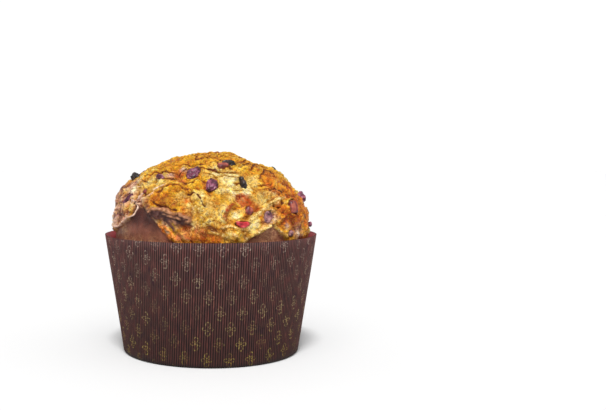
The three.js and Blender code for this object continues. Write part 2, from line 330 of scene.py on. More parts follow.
# %% [markdown]
# The printed ornament
#
# The print is one ink, an old gold, in rows of a small four-petalled flower, the kind of ornament
# that such cases have had for generations. It could be an image, but a flower is easily worked out:
# the distance to four petals and a dot, on the blank's own coordinates, which the sheet carries as
# attributes. So the print is rolled up with the paper and broken by the flutes, as the real one is.
# Each flower also gets a number by chance, which says how worn it is.


# %% A flower from nodes
ORNAMENT_ACROSS = 20.27  # mm from flower to flower in a row
ORNAMENT_ROW = 14.45  # mm from row to row, each shifted by half a step
FIRST_FLOWER = (-3.97, 7.39)  # mm from the blank's middle line, and above its foot
ROWS_BELOW = 10  # keeps the number of every row above nought
PETAL_ALONG = (0.0, 4.0, 1.9, 2.3)  # centre across and along, then half sizes, in mm
PETAL_ACROSS = (3.0, 0.0, 1.8, 1.5)
PETAL_LINE = 0.23  # half width of a petal's outline, as a share of its size
DOT_SIZE = 0.9  # square of the dot's radius in mm


def petal_ring(tree, x, y, petal):
    squares = []
    for value, centre, half_size in ((x, petal[0], petal[2]), (y, petal[1], petal[3])):
        away = add(tree, "Math", value, centre, operation="SUBTRACT")
        share = add(tree, "Math", away, half_size, operation="DIVIDE")
        squares.append(add(tree, "Math", share, share, operation="MULTIPLY"))
    oval = add(tree, "Math", add(tree, "Math", *squares, operation="ADD"), operation="SQRT")
    off_line = add(tree, "Math", oval, 1.0, operation="SUBTRACT")
    off_line = add(tree, "Math", off_line, operation="ABSOLUTE")
    return add(tree, "Math", off_line, PETAL_LINE, operation="LESS_THAN")


def ornament_mask(tree, across, along):
    """One where there is ink, and each flower's own number between nought and one."""
    first_row = 0.5 - FIRST_FLOWER[1] / ORNAMENT_ROW + ROWS_BELOW
    first_column = 0.5 - FIRST_FLOWER[0] / ORNAMENT_ACROSS
    row = add(tree, "Math", along, 1 / ORNAMENT_ROW, first_row, operation="MULTIPLY_ADD")
    row_number = add(tree, "Math", row, operation="FLOOR")
    odd = add(tree, "Math", row_number, 2.0, operation="MODULO")
    shift = add(tree, "Math", odd, 0.5, operation="MULTIPLY")
    column = add(tree, "Math", across, 1 / ORNAMENT_ACROSS, first_column, operation="MULTIPLY_ADD")
    column = add(tree, "Math", column, shift, operation="SUBTRACT")
    away = []
    for value, size in ((column, ORNAMENT_ACROSS), (row, ORNAMENT_ROW)):
        share = add(tree, "Math", value, operation="FRACT")
        from_centre = add(tree, "Math", share, 0.5, operation="SUBTRACT")
        from_centre = add(tree, "Math", from_centre, size, operation="MULTIPLY")
        away.append(add(tree, "Math", from_centre, operation="ABSOLUTE"))
    petals = [petal_ring(tree, *away, petal) for petal in (PETAL_ALONG, PETAL_ACROSS)]
    rings = add(tree, "Math", *petals, operation="MAXIMUM")
    squares = [add(tree, "Math", value, value, operation="MULTIPLY") for value in away]
    square = add(tree, "Math", *squares, operation="ADD")
    dot = add(tree, "Math", square, DOT_SIZE, operation="LESS_THAN")
    cell = add(tree, "CombineXYZ", add(tree, "Math", column, operation="FLOOR"), row_number)
    luck = add(tree, "TexWhiteNoise", cell, noise_dimensions="3D")
    return add(tree, "Math", rings, dot, operation="MAXIMUM"), luck


print(f"a flower every {ORNAMENT_ACROSS} mm, in rows {ORNAMENT_ROW} mm apart")

# %% [markdown]
# The fluted paper
#
# Corrugated baking paper is dyed through and matt. To the eye it is a dull plum brown with a soft
# sheen, streaked along the flutes, nearly black between them where no light gets in, and darkest at
# the foot. The colour is built up in that order: the streaked paper, made paler near the rim and
# darker lower down by painted light from above, then slow blotches, then painted shade between the
# flutes, then the ink on the crests, rubbed off in places, and last painted contact shade at the foot.


# %% Material of the fluted paper
def fluted_paper():
    # Printed corrugated paper: matt, plum brown, with old gold flowers that are broken by the flutes.
    material, tree, surface = new_material("printed_corrugated_baking_paper")
    across = add(tree, "Attribute", attribute_name="across", out="Fac")
    wave = add(tree, "Math", across, 2 * math.pi / FLUTE_PITCH, operation="MULTIPLY")
    wave = add(tree, "Math", wave, operation="COSINE")
    crest = add(tree, "Math", wave, 0.5, 0.5, operation="MULTIPLY_ADD")
    across = add(tree, "Math", across, MM, operation="DIVIDE")
    along = add(tree, "Attribute", attribute_name="along", out="Fac")
    along = add(tree, "Math", along, MM, operation="DIVIDE")
    place = add(tree, "TexCoord", out="Object")
    height = add(tree, "Math", add(tree, "SeparateXYZ", place, out="Z"), MM, operation="DIVIDE")
    high = add(tree, "Math", height, CASE_HEIGHT / MM, operation="DIVIDE", use_clamp=True)

    # On the blank's own millimetres a streak is about 2.4 mm wide and 13 mm long.
    blank = add(tree, "CombineXYZ", across, add(tree, "Math", along, 0.18, operation="MULTIPLY"))
    streak = add(tree, "TexNoise", blank, Scale=0.42, Detail=2.0, Roughness=0.6)
    # Painted light: the paper runs from darker at the foot to paler near the rim, as if lit from above.
    above = [(0.3, "#502A36"), (0.45, "#664640"), (0.58, "#724240"), (0.7, "#8E5A50")]
    below = [(0.3, "#331620"), (0.45, "#46281F"), (0.58, "#4D2320"), (0.7, "#60342A")]
    below, above = [add(tree, "ValToRGB", streak, stops=stops) for stops in (below, above)]
    paper = add(tree, "Mix", high, below, above, data_type="RGBA")
    blotch = add(tree, "TexNoise", place, Scale=1 / (22 * MM), Detail=3.0)
    blotch = add(tree, "Math", blotch, 0.5, operation="MULTIPLY")
    paper = add(tree, "Mix", blotch, paper, linear("#2E1C1B"), data_type="RGBA")
    trough = add(tree, "Math", crest, -1.0, 1.0, operation="MULTIPLY_ADD")
    paper = add(tree, "Mix", trough, paper, linear("#0C0404"), data_type="RGBA")

    ornament, luck = ornament_mask(tree, across, along)
    rubbed = add(tree, "TexNoise", place, Scale=1 / (1.9 * MM), Detail=2.0)
    worn = add(tree, "Math", rubbed, 4.2, -1.6, operation="MULTIPLY_ADD", use_clamp=True)
    luck = add(tree, "Math", luck, 0.65, 0.25, operation="MULTIPLY_ADD")
    on_crest = add(tree, "Math", crest, 0.85, 0.15, operation="MULTIPLY_ADD")
    for share in (luck, on_crest):
        worn = add(tree, "Math", worn, share, operation="MULTIPLY")
    ink = add(tree, "Math", ornament, worn, operation="MULTIPLY")
    # The gold's change with height is part of the same painted light from above.
    gold = add(tree, "Mix", high, linear("#9C8636"), linear("#A08C80"), data_type="RGBA")
    printed = add(tree, "Mix", ink, paper, gold, data_type="RGBA")

    # Painted shade: the lowest few millimetres go nearly black, as contact shade in the fold at the
    # foot.
    foot = add(tree, "MapRange", height, 1.0, 4.5, 0.8, 0.0)
    colour = add(tree, "Mix", foot, printed, linear("#120808"), data_type="RGBA")
    fibre = add(tree, "TexNoise", place, Scale=1 / (0.9 * MM), Detail=4.0)
    bump = add(tree, "Bump", Strength=0.25, Distance=0.15 * MM, Height=fibre)
    fill(surface, Base_Color=colour, Roughness=0.6, Specular_IOR_Level=0.2, Normal=bump)
    print(f"{material.name}: {len(tree.nodes)} nodes")
    return material


sheet_finish = fluted_paper()

# %% [markdown]
# The liner's and the disc's paper
#
# The liner is greaseproof paper: pressed smooth, so it has a faint shine, and stained by the butter
# of the loaf. The disc is the plain brown paper of the case seen from its back. Its flutes are a wave
# of bump only, since nobody looks at it closely.


# %% Materials of the liner and the disc
WAVE_PERIOD = 0.314  # a wave texture of scale one repeats after this many metres


def liner_paper():
    # Greaseproof paper: dark red, and a little shinier than the rest.
    material, tree, surface = new_material("red_greaseproof_liner_paper")
    place = add(tree, "TexCoord", out="Object")
    stain = add(tree, "TexNoise", place, Scale=1 / (14 * MM), Detail=4.0)
    colour = add(tree, "ValToRGB", stain, stops=[(0.3, "#761820"), (0.7, "#9C282E")])
    fill(surface, Base_Color=colour, Roughness=0.45)
    return material


def disc_paper():
    # Unprinted corrugated paper: matt brown, with soft stripes.
    material, tree, surface = new_material("plain_brown_base_paper")
    place = add(tree, "TexCoord", out="Object")
    stripes = add(tree, "TexWave", place, Scale=WAVE_PERIOD / FLUTE_PITCH, out="Fac")
    fibre = add(tree, "TexNoise", place, Scale=1 / (3 * MM), Detail=5.0)
    colour = add(tree, "ValToRGB", fibre, stops=[(0.3, "#4A322E"), (0.7, "#634541")])
    bump = add(tree, "Bump", Strength=0.6, Distance=0.4 * MM, Height=stripes)
    fill(surface, Base_Color=colour, Roughness=0.7, Normal=bump)
    return material


liner_finish = liner_paper()
disc_finish = disc_paper()
print(liner_finish.name, "and", disc_finish.name)

# %% [markdown]
# Put the case together
#
# Each paper gets its thickness last, inwards from the face that shows, so the sizes above are those
# of the outside. Solidify makes both faces and the edge between them in one step. The three are
# pieces of their own, as on the real case, and together they stand for the one solid of the case.

# %% Build the paper case
CASE_PIECES = [
    ("case_sheet", sheet, sheet_finish),
    ("case_liner", liner, liner_finish),
    ("case_disc", disc, disc_finish),
]
for name, paper, finish in CASE_PIECES:
    bmesh.ops.solidify(paper, geom=paper.faces[:], thickness=SHEET_THICKNESS)
    piece = finish_piece(paper, name, finish, "case_paper", "paper_case")
    corners = np.array([vert.co for vert in piece.data.vertices]) / MM
    print(name, "from", corners.min(axis=0).round(2), "to", corners.max(axis=0).round(2))

# %% [markdown]
# The loaf as a smooth dome
#
# The dough rises out of the case, dries to a skin, and bursts. Under all that tearing there is a
# simple form: the top half of an ellipsoid, a straight neck, and a body that fills the paper. Places
# on it are given by two angles, as on a globe: the azimuth round from the front, and the drop from
# the top. A sphere of even quads, made from a cube, is shaped to that form. A cube's grid spreads its
# faces more evenly than a globe's grid, which crowds them at the pole.

# %% Shape the smooth loaf
DOME_RADIUS = 94.2
DOME_MIDDLE = 120.0
DOME_RISE = 71.5
RING_ANGLE = 121.0
CUBE_CUTS = 126
PAPER = 1.2
GAP = 0.35


def dome_point(azimuth, drop):
    azimuth, drop = np.broadcast_arrays(np.asarray(azimuth, float), np.asarray(drop, float))
    a = np.radians(azimuth)
    d = np.radians(np.minimum(drop, 90))
    below = np.radians(np.maximum(drop - 90, 0))
    radius = DOME_RADIUS * np.sin(d)
    height = DOME_MIDDLE + DOME_RISE * (np.cos(d) - below)
    return np.stack([radius * np.sin(a), -radius * np.cos(a), height], axis=-1)


def dome_normal(points):
    up = np.maximum(points[..., 2] - DOME_MIDDLE, 0) / DOME_RISE**2
    normal = np.stack([points[..., 0] / DOME_RADIUS**2, points[..., 1] / DOME_RADIUS**2, up], axis=-1)
    return normal / np.linalg.norm(normal, axis=-1, keepdims=True)


def inner_radius(height):
    return (BASE_RADIUS / MM) + height * math.tan(SLOPE) - PAPER - GAP


def even_sphere():
    bm = bmesh.new()
    bmesh.ops.create_cube(bm, size=2)
    bmesh.ops.subdivide_edges(bm, edges=bm.edges[:], cuts=CUBE_CUTS, use_grid_fill=True)
    for vert in bm.verts:
        vert.co = Vector([math.tan(c * math.pi / 4) for c in vert.co]).normalized()
    return bm


loaf = even_sphere()
ball = np.array([vert.co for vert in loaf.verts])
azimuth = np.degrees(np.arctan2(ball[:, 0], -ball[:, 1]))
angle = np.degrees(np.arccos(np.clip(ball[:, 2], -1, 1)))
on_dome = angle <= RING_ANGLE
under = (angle - RING_ANGLE) / (180 - RING_ANGLE)

lower_profile = [
    (0.00, DOME_RADIUS, 120.0),
    (0.05, DOME_RADIUS - 0.3, 112.0),
    (0.10, DOME_RADIUS - 0.9, 105.5),
    (0.14, DOME_RADIUS + 1.2, 102.0),
    (0.19, inner_radius(97.0) - 1.0, 98.5),
    (0.23, inner_radius(94.0), 94.0),
    (0.72, inner_radius(4.5), 4.5),
    (0.75, inner_radius(3.0) - 3.0, 1.4),
    (1.00, 0.0, 1.4),
]  # share of the way down from the ring to the middle of the base, then radius and height
shares, radii, heights = np.array(lower_profile).T
low_radius = np.interp(under, shares, radii)
low_height = np.interp(under, shares, heights)
low_drop = 90 + np.degrees((DOME_MIDDLE - low_height) / DOME_RISE)
drop = np.where(on_dome, 90 * angle / RING_ANGLE, low_drop)
turned = np.radians(azimuth)
low_place = np.stack([low_radius * np.sin(turned), -low_radius * np.cos(turned), low_height], axis=-1)
smooth = np.where(on_dome[:, None], dome_point(azimuth, drop), low_place)
outward = dome_normal(smooth)
print(f"loaf mesh: {len(loaf.verts)} corners, {on_dome.sum()} on the dome")

# %% [markdown]
# Lobes, folds and the torn edge of the skin
#
# What the oven did to this loaf is read off the real one and written down as a short list of named
# marks: rounded lobes, cracks that sink in, folds that stand out, and the line along which the smooth
# skin tore. The solid has the main ones, coarser. Each mark is a smooth bump or groove along a line,
# so marks can cross without any seam, and its kind also tells the material what colour to give it.

# %% The marks of this crust
LOBES = [
    (60, 9, 2.6, 26), (-30, 26, 2.4, 24), (-84, 60, 3.2, 15), (54, 42, 2.2, 22), (30, 52, -1.8, 9),
    (12, 56, -2.6, 11), (-6, 70, 2.6, 9), (-3, 79, 2.4, 8), (-28, 64, 2.8, 14), (32, 63, 2.4, 7),
    (43, 65, 2.0, 6), (-68, 74, 2.2, 15), (66, 78, 2.2, 14), (2, 89, 2.4, 14), (18, 76, -3.2, 8),
    (110, 50, 2.8, 20), (130, 84, 2.6, 16), (155, 34, 2.6, 20), (178, 70, 2.8, 17), (205, 42, 2.4, 19),
    (228, 86, 2.6, 17), (250, 52, 2.6, 20), (272, 66, 2.0, 14), (0, 0, -2.2, 40), (88, 27, -5.0, 16),
    (62, 31, -1.6, 11), (88, 57, -3.0, 13), (-86, 44, -2.4, 10), (20, 70, -3.0, 7), (-14, 89, -1.6, 7),
    (14, 90, 1.6, 8), (45, 78, 1.6, 9), (-17, 57, 1.4, 8), (27, 62, 1.5, 6),
]  # azimuth, drop, height, radius
FOLDS = [
    ("crack", -2.6, 1.2, 0, [(-17, 61), (-12, 61), (-8, 62), (-6, 65), (-4, 70), (-3, 72)]),
    ("crack", -2.4, 1.4, 0, [(-26, 46), (-25, 41), (-21, 38), (-16, 35), (-9, 36)]),
    ("crack", -1.8, 1.3, 0, [(-47, 48), (-45, 40), (-39, 31), (-36, 22), (-20, 12), (15, 17)]),
    ("crack", -1.6, 1.2, 0, [(-57, 26), (-63, 18), (-62, 9), (4, 12), (14, 22), (9, 31)]),
    ("crack", -1.4, 1.0, 0, [(-6, 84), (-3, 83), (1, 80), (4, 80)]),
    ("crack", -1.7, 1.3, 0, [(38, 61), (42, 58.5), (46, 57.5), (51, 59), (58, 61.5), (62, 66)]),
    ("crack", -1.7, 1.2, 0, [(35, 74), (39, 72), (44, 72), (51, 66)]),
    ("crack", -2.0, 1.3, 0, [(34, 50.5), (38, 54), (42, 57)]),
    ("crack", -1.7, 1.1, 0, [(-52.5, 76), (-52.5, 72), (-50, 68.5), (-46, 65), (-42, 61.5)]),
    ("crack", -1.6, 1.2, 0, [(-67, 76), (-63, 74.5)]),
    ("crack", -1.6, 1.2, 0, [(-68, 80), (-64, 78.5), (-62, 76.5)]),
    ("crack", -1.6, 1.2, 0, [(-59, 79), (-55.5, 77.5)]),
    ("crack", -1.8, 1.2, 0, [(-38, 67), (-33, 70.5), (-27, 71.5), (-22, 72.5), (-16, 75)]),
    ("crack", -2.2, 1.4, 0, [(-5, 35), (-1, 37), (3, 40), (7, 42.5)]),
    ("crack", -2.2, 1.4, 0, [(24, 38.5), (33, 35), (48, 31), (66, 28), (84, 22)]),
    ("ember", -3.0, 4.6, 0, [(15, 62), (19, 64), (23, 67), (25, 71), (23, 75)]),
    ("ember", 2.4, 1.7, 0, [(15, 68), (12, 70), (9, 73), (8, 77), (9, 82)]),
    ("pink", 2.4, 1.1, 1.2, [
        (-81, 91), (-62, 86), (-54, 81), (-49.5, 77.5), (-49, 73), (-51, 69.5), (-56, 67),
    ]),
    ("pink", 2.4, 1.2, 0.5, [(-54.5, 79), (-55, 75), (-54.3, 72), (-52, 68), (-49, 63), (-46, 58.5)]),
    ("pink", 2.0, 1.3, 0.6, [(-43, 67), (-40.5, 64.5), (-38, 60.5), (-35, 56.5), (-31, 52.5)]),
    ("pink", 0.9, 0.9, 0.2, [(-86, 61), (-75, 57), (-70, 53), (-65, 51), (-57, 51)]),
    ("pink", 1.6, 1.0, 0.4, [(-74, 74), (-69, 66), (-62, 58), (-54, 54), (-45, 53)]),
    ("pink", 1.4, 1.0, 0.3, [(-80, 84), (-74, 80), (-70, 76)]),
    ("roll", 3.6, 4.8, 1.6, [
        (-38, 77), (-34, 76.5), (-29, 76.5), (-24, 77.5), (-19, 79), (-13, 81), (-9, 82),
    ]),
    ("roll", 2.0, 2.2, 0.8, [(-26, 80), (-22, 82), (-19.5, 85), (-18.5, 88)]),
    ("roll", 0.9, 2.8, 0.3, [(-45, 66), (-41, 69.5), (-37.5, 73)]),
    ("roll", 0.8, 2.4, 0.2, [(-18.5, 86), (-16.5, 91), (-11, 93)]),
    ("pink", 0.8, 5.0, 0, [(-74, 85), (-66, 82)]),
    ("flare", 0.6, 4.0, 0, [(-14, 91), (-3, 91)]),
    ("ridge", 2.0, 1.2, 0.6, [
        (-36, 77), (-34, 74), (-30, 72.5), (-26, 73), (-21, 74.5), (-15, 77), (-11, 79), (-11, 81),
        (-15, 82),
    ]),
    ("ridge", 1.6, 0.9, 0.3, [(-27, 76), (-22, 76.5), (-17, 79), (-13, 80)]),
    ("ridge", 1.6, 1.0, 0.3, [(-21, 79), (-18, 82), (-17, 85), (-19, 88)]),
    ("flare", 2.8, 1.5, 0.5, [(-29, 83), (-28, 84.5), (-26.5, 87), (-24.5, 89), (-22, 92), (-20, 96)]),
    ("flare", 2.4, 1.2, 0.3, [(-26, 84), (-24, 85.5), (-22, 88), (-20, 91.5), (-18, 95), (-17, 98)]),
    ("lip", 2.8, 1.8, 1.0, [
        (53, 64), (46, 67), (38, 70), (31, 73), (26, 76), (22, 80), (18, 87), (17, 93),
    ]),
    ("lip", 2.2, 1.4, 0.4, [(5, 85), (10, 84), (16, 86), (21, 87)]),
    ("lip", 1.6, 1.1, 0.3, [(-3, 88), (3, 89), (9, 92), (12, 98)]),
    ("lip", 1.6, 1.1, 0.3, [(9, 87), (13, 90), (16, 95)]),
    ("lip", 2.6, 1.5, 0.8, [(17, 96), (24, 90.5), (30, 86), (36, 84)]),
    ("lip", 2.2, 1.3, 0.6, [(36, 84), (41, 88.5), (47, 95)]),
    ("crack", -1.8, 1.2, 0, [(96, 58), (101, 61), (104, 66), (105, 71), (109, 75), (118, 79)]),
    ("lip", 1.3, 1.6, 0.8, [(84, 74), (90, 70), (97, 69), (104, 66), (113, 67), (126, 72)]),
    ("crack", -1.8, 1.2, 0, [(140, 44), (146, 46), (151, 51), (154, 57), (161, 60), (170, 63)]),
    ("roll", 1.3, 2.8, 1.0, [(136, 76), (149, 70), (162, 72), (173, 80)]),
    ("crack", -1.8, 1.2, 0, [(188, 52), (193, 55), (197, 60), (204, 63), (207, 69), (211, 73)]),
    ("lip", 1.3, 1.6, 0.8, [(192, 84), (199, 80), (206, 79), (213, 75), (221, 75), (232, 79)]),
    ("crack", -1.8, 1.2, 0, [(228, 40), (236, 43), (241, 49), (246, 57), (252, 58), (259, 61)]),
    ("pink", 1.2, 1.1, 0.6, [(238, 70), (244, 66), (250, 65), (257, 66), (263, 69), (273, 76)]),
    ("ember", -2.6, 2.4, 0, [(120, 58), (128, 62), (134, 66)]),
    ("ember", -2.6, 2.4, 0, [(216, 56), (222, 62), (226, 68)]),
    ("flare", 2.6, 1.4, 0.5, [(112, 78), (119, 84), (124, 92)]),
    ("flare", 2.6, 1.4, 0.5, [(180, 82), (184, 88), (190, 96)]),
    ("crack", -2.8, 1.6, 0, [(-120, 24), (-95, 21), (-70, 20)]),
    ("crack", -2.6, 1.6, 0, [(60, 26), (100, 22), (150, 27), (200, 24)]),
    ("crack", -2.4, 1.5, 0, [(82, 44), (96, 40), (110, 38), (126, 42)]),
    ("crack", -2.4, 1.5, 0, [(160, 42), (175, 38), (192, 40)]),
    ("crack", -2.4, 1.5, 0, [(250, 36), (268, 33), (285, 38)]),
]  # kind, height, half width, overhang, then the line as azimuth and drop
SKIN_EDGE = [
    (-77, 92), (-62, 87), (-53, 81), (-50, 71), (-44, 71.5), (-38, 74), (-35, 79), (-31, 83), (-27, 86),
    (-22, 92), (-19, 99), (18, 98), (24, 91), (30.5, 87), (36, 85), (41, 89), (47, 97), (80, 98),
    (95, 89), (107, 74), (119, 85), (131, 98), (150, 97), (163, 82), (172, 75), (185, 90), (200, 98),
    (222, 97), (235, 86), (246, 73), (256, 83), (268, 90), (283, 92),
]
SKIN_RECESS = 2.2
SKIN_STEP = 1.2  # degrees of drop over which the torn crumb steps down to the skin
FOLD_KINDS = ("crack", "ember", "pink", "roll", "ridge", "flare", "lip")
print(f"{len(LOBES)} lobes, {len(FOLDS)} folds, and a skin edge of {len(SKIN_EDGE)} points")

# %% [markdown]
# From a mark to a field
#
# A mark is felt by every corner of the mesh near it, more the nearer it is. So these helpers work on
# all corners at once: how far each lies from a line, how high the skin's edge runs at its azimuth,
# and what a slow noise is worth there. A sculpted crust would have the same marks, but nobody could
# read from it how large they are.


# %% Helpers that measure over the whole crust
def smoothstep(x, low, high):
    t = np.clip((x - low) / (high - low), 0, 1)
    return t * t * (3 - 2 * t)


def along_line(points, line):
    """Distance to a line of marks, the share along it, and the direction across it, for every point."""
    nearest = np.full(len(points), np.inf)
    share = np.zeros(len(points))
    across = np.zeros_like(points)
    for i in range(len(line) - 1):
        step = line[i + 1] - line[i]
        t = np.clip((points - line[i]) @ step / (step @ step), 0, 1)
        away = points - line[i] - t[:, None] * step
        distance = np.linalg.norm(away, axis=1)
        closer = distance < nearest
        nearest[closer] = distance[closer]
        share[closer] = (i + t[closer]) / (len(line) - 1)
        across[closer] = np.cross(step / np.linalg.norm(step), dome_normal(points[closer]))
    return nearest, share, across


def skin_edge_at(azimuth):
    turned = (azimuth - SKIN_EDGE[0][0]) % 360 + SKIN_EDGE[0][0]
    return np.interp(turned, [a for a, _ in SKIN_EDGE], [d for _, d in SKIN_EDGE])


def vector_noise(points, size, salt=0.0):
    shift = Vector((salt, 2 * salt, 3 * salt))
    return np.array([noise.noise_vector(Vector(p) / size + shift) for p in points])


def plain_noise(points, size, salt=0.0):
    shift = Vector((salt, 2 * salt, 3 * salt))
    return np.array([noise.noise(Vector(p) / size + shift) for p in points])


print("skin's edge in front is at a drop of", skin_edge_at(0.0).round(1), "degrees")

# %% [markdown]
# Lay the marks on the loaf
#
# No crack in a crust is a clean curve. The marks are therefore laid on a copy of the loaf whose
# points have wandered by a millimetre or two, and the skin's edge is made ragged in the same way.
# Each mark adds to the relief, leans over to one side if it overhangs, and leaves a field of its own
# kind for the colours.

# %% Add the marks up
DOME_END = 106  # degrees of drop, below which the loaf is plain
CRUST_FADE = (94, 104)  # degrees of drop over which the relief dies out inside the case
WANDER = [(2.3, 9.0), (1.0, 3.5)]  # how far the marks wander and over what size, in mm
RAGGED = 1.6  # degrees of drop by which the skin's edge wanders
RAGGED_SIZE = 6.0
END_FADE = 0.12  # share of a mark's length over which each end fades
END_LEVEL = 0.3

bent = np.array(smooth)
dome_part = drop < DOME_END
bent[dome_part] += sum(reach * vector_noise(smooth[dome_part], size) for reach, size in WANDER)
ragged = np.zeros(len(smooth))
ragged[dome_part] = RAGGED * plain_noise(smooth[dome_part], RAGGED_SIZE, 5.0)
into_skin = smoothstep(drop + ragged - skin_edge_at(azimuth), -SKIN_STEP, SKIN_STEP)
on_crust = 1 - smoothstep(drop, *CRUST_FADE)
big_relief = np.zeros(len(smooth))
lean = np.zeros_like(smooth)
marks = {kind: np.zeros(len(smooth)) for kind in FOLD_KINDS}
for a, d, rise, radius in LOBES:
    distance = np.linalg.norm(smooth - dome_point(a, d), axis=1)
    big_relief += rise * np.exp(-((distance / radius) ** 2))
for kind, rise, width, overhang, places in FOLDS:
    line = np.array([dome_point(a, d) for a, d in places])
    distance, share, across = along_line(bent, line)
    fade = smoothstep(share, 0, END_FADE) * smoothstep(1 - share, 0, END_FADE)
    profile = (END_LEVEL + (1 - END_LEVEL) * fade) * np.exp(-((distance / width) ** 2))
    big_relief += rise * profile
    lean += (overhang * profile)[:, None] * across
    marks[kind] = np.maximum(marks[kind], profile * min(abs(rise) / 2.0, 1))
print(f"relief of the marks: {big_relief.min():.1f} to {big_relief.max():.1f} mm")

# %% [markdown]
# Lumps and terraces
#
# Between the marks the torn surface has three scales. The largest are lumps, cells spread evenly over
# the dome and bent by slow waves: the solid has them too. Over them run terraces, where one thin
# layer of crust after another stretched and tore in rings round the top. The places of the lumps
# follow a sunflower's spiral, which spreads them evenly, and a little chance moves each one out of
# line.


# %% Lumps and terraces
LUMPS = 150
LUMP_HEIGHT = 2.2
LUMP_REACH = 12.0
LUMP_MIDDLE = 0.6  # height of a lump's edge, as a share of its top
LUMP_LEAST = 0.45  # size of the smallest lump, and by how much the largest is larger
LUMP_RANGE = 0.9
SPIRAL_STRETCH = 1.06
DROP_CHANCE = 4  # degrees that a lump may lie off the spiral
TURN_CHANCE = 7
GOLDEN_ANGLE = math.pi * (3 - math.sqrt(5))
ARC_PER_DEGREE = 1.45  # mm along the dome for each degree of drop
TERRACE_STEP = 9.5
TERRACE_HEIGHT = 1.5
TERRACE_REST = 0.84  # share of a step on which the layer rises, before it breaks off
GAP_DEPTH = 0.9
GAP_WIDTH = 0.07  # as a share of a step


def chance(index, salt):
    x = np.sin(index * 12.9898 + salt * 78.233) * 43758.5453
    return x - np.floor(x)


def lump_places():
    i = np.arange(LUMPS)
    level = 1 - (i + 0.5) / LUMPS
    lump_drop = np.degrees(np.arccos(level)) + DROP_CHANCE * (chance(i, 1) - 0.5)
    lump_azimuth = np.degrees(i * GOLDEN_ANGLE) + TURN_CHANCE * (chance(i, 2) - 0.5)
    places = dome_point(lump_azimuth, np.maximum(lump_drop * SPIRAL_STRETCH, 0))
    return places, LUMP_LEAST + LUMP_RANGE * chance(i, 3)


def warped(p):
    x, y, z = p.T
    return np.stack(
        [
            x + 4.5 * np.sin(y * 0.085 + 1.7 * np.sin(z * 0.06)),
            y + 4.5 * np.sin(z * 0.09 + 1.5 * np.sin(x * 0.055)),
            z + 3.5 * np.sin(x * 0.08 + 1.6 * np.sin(y * 0.065)),
        ],
        axis=-1,
    )


def lump_relief(points):
    places, rises = lump_places()
    distances = np.linalg.norm(warped(points)[:, None, :] - places[None, :, :], axis=2)
    order = np.argpartition(distances, 1, axis=1)[:, :2]
    pair = np.take_along_axis(distances, order, axis=1)
    first = np.where(pair[:, 0] <= pair[:, 1], order[:, 0], order[:, 1])
    pillow = smoothstep(np.abs(pair[:, 0] - pair[:, 1]), -0.3 * LUMP_REACH, LUMP_REACH)
    return LUMP_HEIGHT * rises[first] * (pillow - LUMP_MIDDLE)


def terrace_relief(points, drops):
    """Rings of overlapping layers round the top: each rises slowly and ends in a small ragged step."""
    wander = 1.5 * plain_noise(points, 24.0, 1.0) + 0.45 * plain_noise(points, 8.0, 2.0)
    ring = drops * ARC_PER_DEGREE / TERRACE_STEP + wander
    share = ring - np.floor(ring)
    present = smoothstep(plain_noise(points, 17.0, 3.0), -0.25, 0.2)
    present *= 1 - 0.7 * smoothstep(drops, 46, 66)
    layer = np.where(share < TERRACE_REST, share / TERRACE_REST, (1 - share) / (1 - TERRACE_REST))
    gap = sum(np.exp(-(((share - edge) / GAP_WIDTH) ** 2)) for edge in (0.97, -0.03))
    return TERRACE_HEIGHT * (layer - 0.5) * present - GAP_DEPTH * gap * present, gap * present


def filled(function, *arguments):
    """Works a function out on the dome alone, and gives nought elsewhere."""
    values = function(*[argument[dome_part] for argument in arguments])
    out = []
    for value in values if isinstance(values, tuple) else (values,):
        whole = np.zeros(len(smooth))
        whole[dome_part] = value
        out.append(whole)
    return out if len(out) > 1 else out[0]


lumps = filled(lump_relief, smooth)
terraces, gaps = filled(terrace_relief, smooth, drop)
print(f"lumps {lumps.min():.1f} to {lumps.max():.1f} mm, terraces to {terraces.max():.1f} mm")

# %% [markdown]
# Wrinkles, and the sum of the relief
#
# The smallest scale is wrinkles: fractal noise, folded at nought so that it makes round backs and
# sharp creases, as a drying skin does. On lips, rolls and strands it is held back, because those were
# stretched smooth, and the top of the loaf is calmer than its sides. All the relief is then added up,
# so the surface is moved only once, along its normal.

# %% Wrinkles, grain and the sum
WRINKLE_SIZE = 9.0
WRINKLE_HEIGHT = 2.8
WRINKLE_MIDDLE = 0.33  # mean of the folded noise
OCTAVES = 3
FINE_SIZE = 3.2
FINE_HEIGHT = 0.55


def wrinkle_relief(points):
    coarse = np.zeros(len(points))
    fine = np.zeros(len(points))
    for i, p in enumerate(points):
        p = Vector(p)
        moved = p + 6.0 * noise.noise_vector(p / 17.0)
        level = 1.0
        size = WRINKLE_SIZE
        for _ in range(OCTAVES):
            coarse[i] += level * abs(noise.noise(moved / size))
            level *= 0.55
            size *= 0.5
        fine[i] = noise.fractal(moved / FINE_SIZE, 0.9, 2.1, OCTAVES)
    return coarse, fine


coarse, fine = filled(wrinkle_relief, smooth)
slow = filled(lambda points: plain_noise(points, 28.0, 4.0), smooth)
torn = 1 - into_skin
busy = 1 - 0.6 * np.clip(marks["lip"] + marks["roll"] + marks["pink"] + marks["flare"], 0, 1)
calm = 0.5 + 0.5 * smoothstep(drop, 22, 50)
wrinkles = (terraces + WRINKLE_HEIGHT * (coarse - WRINKLE_MIDDLE)) * busy
crumb = lumps * calm + wrinkles * (0.35 + 0.65 * calm) + FINE_HEIGHT * fine
skin_relief = -SKIN_RECESS + 0.8 * slow + 0.12 * fine
relief = (big_relief + crumb * torn + skin_relief * into_skin) * on_crust
print(f"crumb {crumb[dome_part].min():.1f} to {crumb[dome_part].max():.1f} mm")

# %% [markdown]
# Where the fruit sits
#
# Raisins soak in syrup, bake, and shrink again, so they are wrinkled ovals with a sticky shine.
# Candied peel and cherry are cut into cubes and turn to rounded blocks. The solids give each piece
# its place, and this table gives its turn and its look, so that a finer one can be made in the same
# pocket.

